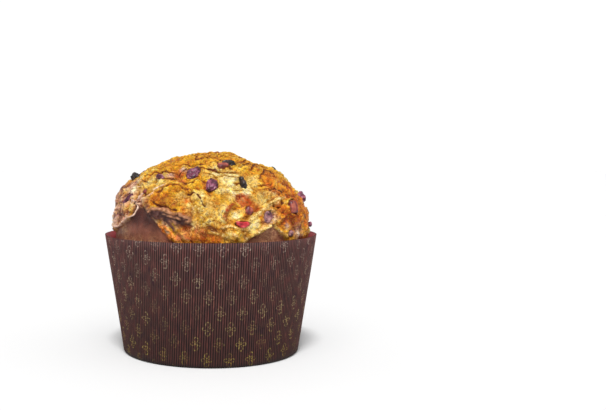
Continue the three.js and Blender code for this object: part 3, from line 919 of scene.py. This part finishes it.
# %% The fruit's sizes and turns
FRUIT = {
    "raisin_01": (19.5, 32.3, 13, 8.5, 7, 8, "dark"),
    "raisin_02": (-14, 43, 16.5, 10, 8, 68, "plum"),
    "raisin_03": (1, 54, 14.5, 10.5, 8, 84, "plum"),
    "raisin_04": (22.3, 52, 13.5, 6, 6.5, 86, "dark"),
    "raisin_05": (-79, 50, 9.5, 8, 8.5, 20, "dark"),
    "raisin_06": (-60, 67, 14, 5.5, 5.5, 45, "plum"),
    "raisin_07": (81, 66.5, 10, 6, 8, 88, "plum"),
    "raisin_08": (34, 78.5, 12, 9, 5, 60, "rose"),
    "raisin_09": (50, 91.5, 7, 5.5, 5, 10, "rose"),
    "raisin_10": (-40, 48.5, 9.5, 4.5, 5, -8, "plum"),
    "raisin_11": (80, 88, 5.5, 5, 5, 0, "plum"),
    "raisin_12": (118, 46, 11, 8, 7, 30, "dark"),
    "raisin_13": (143, 66, 10.5, 8, 7, 75, "plum"),
    "raisin_14": (196, 74, 11, 8, 7, 15, "dark"),
    "raisin_15": (182, 36, 12, 8.5, 7, 120, "plum"),
    "raisin_16": (224, 58, 10, 8, 7, 50, "dark"),
    "raisin_17": (262, 46, 10, 7.5, 7, 100, "plum"),
    "raisin_18": (160, 88, 8, 6, 6, 20, "dark"),
    "peel_01": (11, 36.8, 11, 6.5, 5.5, 12, "rust"),
    "peel_02": (52, 73.5, 13, 11.5, 8, 84, "rust"),
    "peel_03": (17, 83, 13.5, 5.5, 6, -4, "red"),
    "peel_04": (22, 73.5, 8, 7.5, 6, 50, "rust"),
    "peel_05": (-46.5, 60, 4.6, 4, 4, 0, "rust"),
    "peel_06": (97, 80, 10, 8, 7, 35, "rust"),
    "peel_07": (166, 53, 10, 9, 7, 10, "red"),
    "peel_08": (243, 80, 11, 8, 7, 60, "red"),
    "peel_09": (208, 28, 9, 8, 6, 40, "rust"),
}  # azimuth, drop, length, width, thickness, turn of the long side from level, looks
# How much deeper than their solids some pieces sit, in mm.
SUNK = {"raisin_05": 1.0, "raisin_08": 1.8, "raisin_17": 2.0, "peel_03": -0.4}


def fruit_axes(name):
    """The fruit's middle in millimetres, and the directions of its length, width and thickness."""
    a, d, *_, turn, _ = FRUIT[name]
    low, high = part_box(name)
    out = Vector(dome_normal(dome_point(a, d)))
    middle = np.array((low + high) / 2) / MM - np.array(out) * SUNK.get(name, 0)
    level = Vector((math.cos(math.radians(a)), math.sin(math.radians(a)), 0))
    length = Matrix.Rotation(math.radians(turn), 3, out) @ level
    width = out.cross(length)
    return middle, np.array(length), np.array(width), np.array(out)


print(f"{len(FRUIT)} pieces of fruit, the first at", fruit_axes("raisin_01")[0].round(1))

# %% [markdown]
# Press the fruit's sockets into the crust
#
# Dough rises round fruit and grips it a little above its middle, or lower on the upper dome, where
# the dough ran down from it. So the crust swells round each piece, and is pressed down to a hollow
# under it. Joining the meshes would do as well, but then the fruit couldn't be a piece of its own.

# %% Sockets
SOCKET_SHARE = 0.97  # how much of the fruit's outline its pocket opens to
SOCKET_CLEAR = 0.3  # mm between the fruit and the bottom of its pocket
SOCKET_REACH = (2.4, 25)  # along the crust, where 1 is the pocket's outline, and in mm through it
SWELL = (1.7, 1.05)  # where the swelling begins and is full, where 1 is again the outline
SHADE = (1.2, 0.97)  # the same for the painted shade at the edge of the pocket
GRIP = 0.1  # how far above its middle the dough grips the fruit, as a share of its thickness
UPPER_GRIP = -0.15
UPPER_DROP = 60
STANDING_OUT = ("raisin_05", "raisin_07", "raisin_11")
STANDING_GRIP = -0.3
GRIP_WAVE = 0.7  # how far the wrinkles move the dough's edge up and down the fruit
LEAST_TILT = 0.3
BENT_SHARE = 0.4  # how much of the crust's wandering the outline of a pocket has

socket = np.zeros(len(smooth))
for name, (_, fruit_drop, length, width, thickness, _, _) in FRUIT.items():
    middle, x_axis, y_axis, z_axis = fruit_axes(name)
    offset = bent * BENT_SHARE + smooth * (1 - BENT_SHARE) - middle
    x = offset @ x_axis / (length / 2 * SOCKET_SHARE)
    y = offset @ y_axis / (width / 2 * SOCKET_SHARE)
    away = np.sqrt(x * x + y * y)
    near = (away < SOCKET_REACH[0]) & (np.abs(offset @ z_axis) < SOCKET_REACH[1])
    tilt = np.maximum(outward @ z_axis, LEAST_TILT)
    level_here = (smooth - middle) @ z_axis
    height = STANDING_GRIP if name in STANDING_OUT else UPPER_GRIP if fruit_drop < UPPER_DROP else GRIP
    grip = (thickness * (height + GRIP_WAVE * (coarse - WRINKLE_MIDDLE)) - level_here) / tilt
    held = near * smoothstep(-away, -SWELL[0], -SWELL[1])
    relief += held * np.maximum(grip - relief, 0)
    hollow = np.sqrt(np.clip(1 - away**2, 0, 1))
    bottom = (-0.5 * thickness * hollow - SOCKET_CLEAR - level_here) / tilt
    inside = near & (away < 1)
    relief[inside] = np.minimum(relief, bottom)[inside]
    # Painted shade: a dark edge round each pocket, kept for the crust's colours.
    socket = np.maximum(socket, smoothstep(-away, -SHADE[0], -SHADE[1]) * near)
print(f"{(socket > 0.5).sum()} corners lie in sockets")

# %% [markdown]
# Baked colours
#
# A crust's colour follows its shape. Where dough tore open late it is pale cream, the torn backs are
# golden, the creases and the skin that met the heat first are orange to chestnut brown. The deepest
# creases, the gaps between layers, the cracks and the edges of the fruit's pockets are darkened
# further with painted shade. So the shape's own measures are stored on the mesh as attributes: how
# deep a spot lies, how much of it is skin, lip or socket, and soft regions read off the real loaf.
# The material then mixes colours by these attributes, and adds its own fine noise.

# %% Store what the colours need
TINTS = {
    "pale": [
        (-6, 70, 10), (-3, 80, 9), (15, 48, 12), (16, 56, 11), (4, 41, 10), (6, 76, 9), (22, 60, 7),
        (34, 66, 9), (22, 84, 7), (-38, 52, 9), (-47, 52, 8), (43, 63, 6), (-10, 84, 5), (-58, 57, 9),
        (-66, 54, 8), (-15, 65, 6), (-76, 78, 7), (-64, 78, 5), (12, 76, 5), (9, 91, 5), (29, 50, 7),
    ],
    "toast": [
        (2, 96, 7), (22, 70, 8), (46, 59, 9), (56, 80, 15), (46, 79, 8), (-35, 66, 6), (64, 62, 16),
        (76, 74, 18), (-25, 44, 7), (43, 54, 7), (-14, 66, 4), (70, 88, 14), (-4, 93, 4), (44, 70, 8),
        (50, 50, 9), (-15, 73, 4), (-3, 92, 5), (60, 68, 13),
    ],
    "mauve": [
        (-70, 78, 18), (-14, 81, 5), (-84, 66, 16), (-62, 66, 12), (-48, 67, 9), (-40, 77, 8),
        (35, 80, 7), (58, 92, 8), (-62, 70, 6), (-33, 80, 8), (-24, 82, 6), (46, 86, 3.5), (-70, 55, 9),
        (-57, 83, 8), (-66, 88, 7), (-24, 89, 4), (-24, 40, 4), (-33, 45, 4),
    ],
    "blush": [
        (-13, 86, 5.5), (-12, 91, 5), (-17, 92, 4), (-7, 86.5, 4), (-4, 89, 4), (-26, 43, 4),
        (20, 68, 4), (-22, 51, 4),
    ],
    "tan": [
        (-60, 91, 9), (-73, 91, 10), (33, 93, 15), (-30, 99, 8), (-57, 95, 5), (-50, 95.5, 4.5),
        (-43, 96, 4.5), (-36, 96, 4.5), (34, 95.5, 6),
    ],
}
REAR_TINTS = {
    "pale": [(112, 62, 12), (150, 56, 14), (176, 64, 12), (204, 60, 12), (250, 62, 12), (222, 40, 12)],
    "toast": [(128, 84, 18), (160, 74, 14), (196, 82, 18), (226, 82, 16), (262, 78, 16), (100, 88, 14)],
    "mauve": [(107, 82, 14), (172, 84, 16), (246, 82, 16), (275, 88, 18)],
    "blush": [(122, 66, 8), (214, 62, 8), (186, 86, 8)],
    "tan": [(112, 94, 14), (168, 94, 12), (250, 94, 14)],
}


def tint_field(kind):
    field = np.zeros(len(smooth))
    for a, d, radius in TINTS[kind] + REAR_TINTS[kind]:
        distance = np.linalg.norm(bent - dome_point(a, d), axis=1)
        field = np.maximum(field, np.exp(-((distance / radius) ** 2)))
    return field


HOLLOW_RANGE = 7.0  # mm of relief from the palest back to the darkest crease
LOW_SKIN = (80, 94)  # degrees of drop over which the skin turns paler
RIGHT_SKIN = (0, 10)  # degrees of azimuth over which it does so to the right, where it browned less

# Depth for the colours: its dark end stands for browning and for painted shade in creases and gaps.
hollow_share = 0.45 - (crumb * torn - 0.4 * big_relief) / HOLLOW_RANGE + 0.5 * gaps
attributes = {kind: tint_field(kind) for kind in TINTS} | marks
attributes["skin"] = into_skin
attributes["depth"] = np.clip(hollow_share, 0, 1)
attributes["gap"] = gaps * torn
attributes["socket"] = socket
attributes["low"] = np.maximum(smoothstep(drop, *LOW_SKIN), smoothstep(azimuth, *RIGHT_SKIN))
final = (smooth + outward * relief[:, None] + lean * on_crust[:, None]) * MM
for vert, spot in zip(loaf.verts, final):
    vert.co = spot
loaf.normal_update()
print("crust from", (final.min(axis=0) / MM).round(1), "to", (final.max(axis=0) / MM).round(1))

# %% [markdown]
# What the crust's material is read from
#
# Baked sweet dough, rich in butter and yolk: a satin, slightly see-through crust, from cream in the
# fresh tears to chestnut in the creases. The material reads two things: the fields stored on the
# mesh, and noises in real sizes. Patches of 11 mm are where one spot browned more than the next,
# specks of 3.6 mm are blisters, grain of 0.9 mm is the pores, and strands of 7 mm, strongly bent,
# give the thin lines where crumb was pulled apart.

# %% Fields and noises
# Baked crust: gold to chestnut, satin, with painted shade in its creases, and lets a little light in.
crust_finish, crust_tree, crust_surface = new_material("baked_panettone_crust")
field = {name: add(crust_tree, "Attribute", attribute_name=name, out="Fac") for name in attributes}
object_place = add(crust_tree, "TexCoord", out="Object")
NOISES = {
    "patch": {"Scale": 1 / (11 * MM), "Detail": 4.0, "Roughness": 0.6},
    "speck": {"Scale": 1 / (3.6 * MM), "Detail": 5.0, "Roughness": 0.75, "Distortion": 1.1},
    "grain": {"Scale": 1 / (0.9 * MM), "Detail": 3.0},
    "strand": {"Scale": 1 / (7 * MM), "Detail": 3.0, "Roughness": 0.6, "Distortion": 1.8},
}
noises = [add(crust_tree, "TexNoise", object_place, **sizes) for sizes in NOISES.values()]
patch, speck, grain, strand = noises
patchy = add(crust_tree, "Math", patch, 0.5, operation="SUBTRACT")
specky = add(crust_tree, "Math", speck, 0.5, operation="SUBTRACT")


def broken_up(name, gain, blur=0.9, edge=0.12):
    """A stored field whose edge the patches break up, as a share from nought to one."""
    spread = add(crust_tree, "Math", patchy, blur, field[name], operation="MULTIPLY_ADD")
    spread = add(crust_tree, "Math", spread, edge, operation="SUBTRACT")
    return add(crust_tree, "Math", spread, gain, operation="MULTIPLY", use_clamp=True)


def near_level(value, level, reach):
    """One where a noise passes through the level, falling to nought: a thin wandering line."""
    off = add(crust_tree, "Math", value, level, operation="SUBTRACT")
    off = add(crust_tree, "Math", off, operation="ABSOLUTE")
    return add(crust_tree, "MapRange", off, 0.0, reach, 1.0, 0.0, interpolation_type="SMOOTHSTEP")


vein = near_level(strand, 0.5, 0.035)
thread = near_level(strand, 0.59, 0.03)
print(f"{len(field)} fields and {len(NOISES)} noises")

# %% [markdown]
# Colours by depth
#
# Each kind of crust has its own run of colours, from its raised backs down into its creases, where
# the darkest colours are painted shade. One number, the depth, drives them all: the stored depth, made
# uneven by the specks and the patches. The skin has no depth to speak of, so its colours follow the
# patches, and those of the thin torn edges follow the specks.

# %% Runs of colour
depth = add(crust_tree, "Math", specky, 1.5, field["depth"], operation="MULTIPLY_ADD")
depth = add(crust_tree, "Math", patchy, 0.9, depth, operation="MULTIPLY_ADD", use_clamp=True)
RUNS = {
    "gold": (depth, [
        (0.06, "#F0D878"), (0.26, "#E2B42C"), (0.48, "#D09212"),
        (0.66, "#B6680E"), (0.84, "#7C3C0E"), (1.0, "#3E1A10"),
    ]),
    "cream": (depth, [(0.12, "#F2EEC6"), (0.4, "#E2CE74"), (0.66, "#CC9C28"), (1.0, "#7A4212")]),
    "toast": (depth, [(0.12, "#E09422"), (0.42, "#CA640C"), (0.72, "#90380A"), (1.0, "#3C180E")]),
    "mauve": (depth, [(0.2, "#F8E6CC"), (0.4, "#DEB496"), (0.62, "#9E6858"), (0.9, "#3A1C20")]),
    "blush": (depth, [(0.15, "#EA9C62"), (0.45, "#CC6C30"), (0.8, "#74301E")]),
    "roll": (depth, [(0.0, "#8E6450"), (0.3, "#6A4238"), (0.6, "#4C2E2A"), (1.0, "#2A1816")]),
    "ember": (depth, [(0.2, "#C05818"), (0.5, "#962F10"), (0.85, "#521810")]),
    "high skin": (patch, [(0.3, "#361815"), (0.5, "#43201A"), (0.7, "#532A22")]),
    "low skin": (patch, [(0.3, "#683828"), (0.5, "#7C4836"), (0.7, "#925844")]),
    "tanned": (speck, [(0.34, "#5E3828"), (0.5, "#966648"), (0.66, "#C49A6C")]),
    "flare": (speck, [(0.35, "#C4500C"), (0.5, "#EC8428"), (0.65, "#F8C070")]),
    "lip": (speck, [(0.36, "#B8842E"), (0.48, "#DCB452"), (0.6, "#F6E2A4")]),
}
run = {name: add(crust_tree, "ValToRGB", value, stops=stops) for name, (value, stops) in RUNS.items()}
print(f"{len(run)} runs of colour")

# %% [markdown]
# Coats of colour
#
# The colours go on like coats of paint: golden crumb first, then the regions that are paler, browner
# or pinker, then the fine lines, the skin, the painted shade of the terrace gaps, the marks, and last
# the painted shade of the cracks and sockets.
# For each coat the list says how much of it shows and what colour it is. At the end a fleck of light
# and dark is multiplied in, on the torn parts.


# %% Mix the coats
bright = add(crust_tree, "Mix", field["pale"], linear("#F0BE44"), linear("#F8ECBC"), data_type="RGBA")
skin = add(crust_tree, "Mix", field["low"], run["high skin"], run["low skin"], data_type="RGBA")
tan = add(crust_tree, "Math", field["tan"], 0.9, operation="MULTIPLY")
skin = add(crust_tree, "Mix", tan, skin, run["tanned"], data_type="RGBA")
streaky = add(crust_tree, "Math", speck, 4.0, -1.2, operation="MULTIPLY_ADD", use_clamp=True)
streaky_ember = add(crust_tree, "Math", broken_up("ember", 2.3, 0.6), streaky, operation="MULTIPLY")
dark_vein = add(crust_tree, "Math", vein, 0.75, operation="MULTIPLY")
bright_thread = add(crust_tree, "Math", thread, 0.7, operation="MULTIPLY")
# Painted shade in the grooves between the terrace layers.
gap = add(crust_tree, "Math", field["gap"], 0.75, operation="MULTIPLY")
# Painted shade round the edge of each fruit's pocket.
pocket = add(crust_tree, "Math", field["socket"], 0.6, operation="MULTIPLY")
# Painted shade: dark brown laid along the cracks' grooves.
crack = broken_up("crack", 1.0, 0.3)
crack = add(crust_tree, "MapRange", crack, 0.22, 0.62, interpolation_type="SMOOTHSTEP")
COATS = [
    (broken_up("pale", 1.15, 0.9, 0.03), run["cream"]),
    (broken_up("toast", 1.05, 0.9, 0.0), run["toast"]),
    (broken_up("mauve", 1.6, 0.9, 0.16), run["mauve"]),
    (broken_up("blush", 1.5, 0.6), run["blush"]),
    (dark_vein, linear("#7A340A")),
    (bright_thread, bright),
    (field["skin"], skin),
    (gap, linear("#66300E")),
    (broken_up("roll", 1.6, 0.3), run["roll"]),
    (streaky_ember, run["ember"]),
    (broken_up("flare", 2.0, 0.3), run["flare"]),
    (broken_up("ridge", 1.5, 0.4), linear("#B88460")),
    (broken_up("lip", 1.3, 0.5), run["lip"]),
    (broken_up("pink", 1.9, 0.7, 0.25), linear("#F0CCB4")),
    (crack, linear("#5E280E")),
    (pocket, linear("#6A2E12")),
]
WHITE = (1, 1, 1, 1)
DARK_FLECK = (0.70, 0.58, 0.48, 1)
LIGHT_FLECK = (1.55, 1.56, 1.62, 1)
colour = run["gold"]
for share, coat in COATS:
    colour = add(crust_tree, "Mix", share, colour, coat, data_type="RGBA")
torn_share = add(crust_tree, "Math", field["skin"], -0.75, 1.0, operation="MULTIPLY_ADD")
fleck = add(crust_tree, "MapRange", speck, 0.37, 0.63)
fleck = add(crust_tree, "Mix", fleck, DARK_FLECK, LIGHT_FLECK, data_type="RGBA")
fleck = add(crust_tree, "Mix", torn_share, WHITE, fleck, data_type="RGBA")
colour = add(crust_tree, "Mix", 1.0, colour, fleck, data_type="RGBA", blend_type="MULTIPLY")
print(f"{len(COATS)} coats over the gold")

# %% [markdown]
# Shine, pores, and the finished crust
#
# The crust is satin where its skin is whole and duller where it blistered. A little light goes in and
# comes out warmer, as in any bread. The pores and lines are too fine for the mesh, so they are bump,
# held back on the skin. The mesh then becomes the piece, and the fields that the material reads are
# stored on it.

# %% Finish the crust
shine = add(crust_tree, "Math", speck, 0.5, 0.12, operation="MULTIPLY_ADD")
rough = add(crust_tree, "Math", grain, 0.35, speck, operation="MULTIPLY_ADD")
rough = add(crust_tree, "Math", thread, 0.25, rough, operation="MULTIPLY_ADD")
rough = add(crust_tree, "Math", vein, -0.3, rough, operation="MULTIPLY_ADD")
rough = add(crust_tree, "Math", rough, torn_share, operation="MULTIPLY")
bump = add(crust_tree, "Bump", Strength=1.0, Distance=1.7 * MM, Height=rough)
fill(crust_surface, Base_Color=colour, Roughness=shine, Specular_IOR_Level=0.24, Normal=bump)
fill(crust_surface, Subsurface_Weight=0.06, Subsurface_Scale=1.0)
fill(crust_surface, Subsurface_Radius=(2 * MM, 1 * MM, 0.5 * MM))
crust = finish_piece(loaf, "crust", crust_finish, "crust", "bread")
for name, values in attributes.items():
    layer = crust.data.attributes.new(name, "FLOAT", "POINT")
    layer.data.foreach_set("value", values.astype(np.float32))
print(f"crust: {len(crust.data.polygons)} faces, {len(crust_tree.nodes)} nodes")

# %% [markdown]
# The fruit's materials
#
# Raisin skin is dark, wrinkled and sticky: it shines softly, and where sugar has dried on it, it
# looks frosted. Candied peel and cherry are soaked in syrup, so they are glossy, and a red cherry
# also lets some light through. All five are mottled runs of colour under a thin clear coat.


# %% Materials of the fruit
FRUIT_FINISHES = {
    # Nearly black, and dull.
    "dark": ("dark_raisin_skin", [(0.34, "#0C0A0A"), (0.52, "#221613"), (0.7, "#5A3C32")]),
    # Purple, and frosted on its ridges.
    "plum": ("plum_raisin_skin", [
        (0.36, "#340C1A"), (0.5, "#642640"), (0.62, "#96566C"), (0.74, "#C89CA4"),
    ]),
    # Greyish pink, as if dusted with sugar.
    "rose": ("sugared_raisin_skin", [(0.38, "#3A1C26"), (0.5, "#7A4A50"), (0.66, "#B88C84")]),
    # Rust red, darker in its dents.
    "rust": ("candied_orange_peel", [(0.34, "#4E1A1C"), (0.5, "#7E322C"), (0.68, "#AC5E46")]),
    # Bright red and wet.
    "red": ("candied_cherry", [(0.34, "#7A0E1A"), (0.5, "#B8242E"), (0.7, "#E07870")]),
}


def fruit_material(looks):
    # Dried or candied fruit: mottled under a sticky coat. The red one is glossier and glows a little.
    name, stops = FRUIT_FINISHES[looks]
    material, tree, surface = new_material(name)
    place = add(tree, "TexCoord", out="Object")
    mottle = add(tree, "TexNoise", place, Scale=1 / (4.5 * MM), Detail=3.0)
    pores = add(tree, "TexNoise", place, Scale=1 / (0.9 * MM), Detail=3.0)
    bump = add(tree, "Bump", Strength=0.35, Distance=0.3 * MM, Height=pores)
    fill(surface, Base_Color=add(tree, "ValToRGB", mottle, stops=stops), Normal=bump)
    fill(surface, Roughness=0.3 if looks == "red" else 0.45, Specular_IOR_Level=0.35)
    fill(surface, Coat_Weight=0.25, Coat_Roughness=0.15)
    fill(surface, Subsurface_Weight=0.25 if looks == "red" else 0.05, Subsurface_Scale=1.0)
    fill(surface, Subsurface_Radius=(2.5 * MM, 0.7 * MM, 0.5 * MM))
    return material


fruit_finishes = {looks: fruit_material(looks) for looks in FRUIT_FINISHES}
print("fruit finishes:", ", ".join(finish.name for finish in fruit_finishes.values()))

# %% [markdown]
# Make each piece of fruit
#
# Each piece starts as a small ball of triangles. A power law squares it up: strongly for the cut
# cubes of peel, less for a raisin. Raisins then shrink by a noise that is folded at nought and drawn
# out along them, which gives the long wrinkles of a dried skin. Two are special: a slice of cherry
# that curled up at both ends, and two raisins that dried together and are narrow in the middle.

# %% Fruit
FRUIT_SUBDIVISIONS = 5
CRESCENT = "peel_03"
WAISTED = "raisin_04"
BLOCK_POWER = 3.4
OVAL_POWER = 2.7


def squared(v, power):
    return v / sum(abs(c) ** power for c in v) ** (1 / power)


def block_point(v, shift):
    v = squared(v, BLOCK_POWER)
    return v * (0.93 + 0.12 * noise.noise(v * 1.4 + shift) + 0.05 * noise.noise(v * 3.6 + shift))


def raisin_point(v, shift):
    v = squared(v, OVAL_POWER)
    drawn_out = Vector((v.x * 1.3, v.y * 2.6, v.z * 2.6)) + 0.5 * noise.noise_vector(v * 1.5 + shift)
    wrinkle = abs(noise.noise(drawn_out + shift)) + 0.5 * abs(noise.noise(drawn_out * 2.1 + shift))
    return v * (0.8 + 0.4 * min(wrinkle, 0.55) + 0.3 * noise.noise(v * 1.1 - shift))


def fruit_mesh(name, number):
    _, _, length, width, thickness, _, looks = FRUIT[name]
    middle, *axes = fruit_axes(name)
    is_peel = name.startswith("peel")
    shift = Vector((number * 3.7, number * 1.3, number * 2.1))
    bm = bmesh.new()
    bmesh.ops.create_icosphere(bm, subdivisions=FRUIT_SUBDIVISIONS, radius=1)
    for vert in bm.verts:
        v = block_point(vert.co, shift) if is_peel else raisin_point(vert.co, shift)
        if name == CRESCENT:
            v.y = v.y * (1.15 - 0.55 * v.x**2) + 0.9 * v.x**2 - 0.35
        if name == WAISTED:
            waist = 0.6 + 0.45 * min(abs(v.x - 0.3) / 0.45, 1) - 0.45 * max(v.x, 0)
            v.y *= waist
            v.z *= waist
        place = middle
        for axis, share, size in zip(axes, v, (length, width, thickness)):
            place = place + axis * share * size / 2
        vert.co = Vector(place) * MM
    bmesh.ops.recalc_face_normals(bm, faces=bm.faces)
    slot = "candied_peel" if is_peel else "raisin"
    return finish_piece(bm, "fruit_" + name, fruit_finishes[looks], slot, name)


for number, name in enumerate(FRUIT):
    piece = fruit_mesh(name, number)
print(f"{len(FRUIT)} pieces of fruit, each of {len(piece.data.polygons)} faces")

# %% [markdown]
# Floor and light
#
# A loaf like this is seen best on a pale table under large soft lights, nearly without a shadow. A
# wide pale floor and a pale world give the same. The world looks brighter to the camera than it
# shines on the loaf, so the backdrop stays white and the folds keep their shade. A big soft light
# stands in front, a smaller and stronger one higher up gives the sparkle, and a weak one fills in
# from the right.

# %% Stage
FLOOR_RADIUS = 12
floor_shape = bmesh.new()
bmesh.ops.create_circle(floor_shape, cap_ends=True, radius=FLOOR_RADIUS, segments=96)
floor_mesh = bpy.data.meshes.new("floor")
floor_shape.to_mesh(floor_mesh)
floor_shape.free()
floor = bpy.data.objects.new("floor", floor_mesh)
bpy.context.scene.collection.objects.link(floor)
# A painted table, matt and a little grey, so that it isn't brighter than the backdrop.
floor_paint, _, floor_surface = new_material("matt_white_table")
fill(floor_surface, Base_Color=linear("#D9D9D9"), Roughness=0.8)
floor_mesh.materials.append(floor_paint)
print(f"floor: {2 * FLOOR_RADIUS} m wide")

# %% [markdown]
# The world and the lamps
#
# Sun lamps are used, since their light is the same all over the loaf, and the angle that each is seen
# under sets how soft its shadows are.

# %% Light
WORLD_LIGHT = 0.48
WORLD_SEEN = 1.05

world = bpy.data.worlds.new("studio")
world.use_nodes = True
seen = add(world.node_tree, "LightPath", out="Is Camera Ray")
brightness = add(world.node_tree, "MapRange", seen, To_Min=WORLD_LIGHT, To_Max=WORLD_SEEN)
fill(world.node_tree.nodes["Background"], Color=WHITE, Strength=brightness)
bpy.context.scene.world = world
bpy.context.scene.view_settings.view_transform = "Standard"


def soft_sun(name, around, up, spread, strength):
    """A large soft source, told in degrees: its place round the loaf, its height and its width."""
    data = bpy.data.lights.new(name, "SUN")
    data.energy = strength * math.pi
    data.angle = math.radians(spread)
    light = bpy.data.objects.new(name, data)
    a, e = math.radians(around), math.radians(up)
    towards = Vector((math.sin(a) * math.cos(e), -math.cos(a) * math.cos(e), math.sin(e)))
    light.location = towards
    light.rotation_euler = towards.to_track_quat("Z", "Y").to_euler()
    bpy.context.scene.collection.objects.link(light)
    print(f"{name}: {around} degrees round, {up} up, {spread} wide")


soft_sun("key", -8, 42, 60, 0.40)
soft_sun("sparkle", -3, 62, 12, 0.80)
soft_sun("fill", 60, 32, 80, 0.12)

# %% [markdown]
# The camera
#
# The camera stands a little above the rim and looks slightly down. The loaf sits left of the middle
# of the picture, but isn't seen from the side: the lens is shifted, as on a camera for buildings,
# where turning it would show the loaf's flank.

# %% Camera
IMAGE_WIDTH = 606
CAMERA_DISTANCE = 0.8362
CAMERA_HEIGHT = 0.1866
CAMERA_PITCH = math.radians(3.159)
FOCAL_PIXELS = 860.0
LOAF_LEFT_OF_MIDDLE = 92.15  # pixels

camera_data = bpy.data.cameras.new("camera")
camera_data.sensor_width = 36
camera_data.lens = camera_data.sensor_width * FOCAL_PIXELS / IMAGE_WIDTH
camera_data.shift_x = LOAF_LEFT_OF_MIDDLE / IMAGE_WIDTH
camera = bpy.data.objects.new("camera", camera_data)
camera.location = (0, -CAMERA_DISTANCE, CAMERA_HEIGHT)
camera.rotation_euler = (math.pi / 2 - CAMERA_PITCH, 0, 0)
bpy.context.scene.collection.objects.link(camera)
bpy.context.scene.camera = camera
print(f"lens {camera_data.lens:.1f} mm, {CAMERA_DISTANCE:.2f} m away")
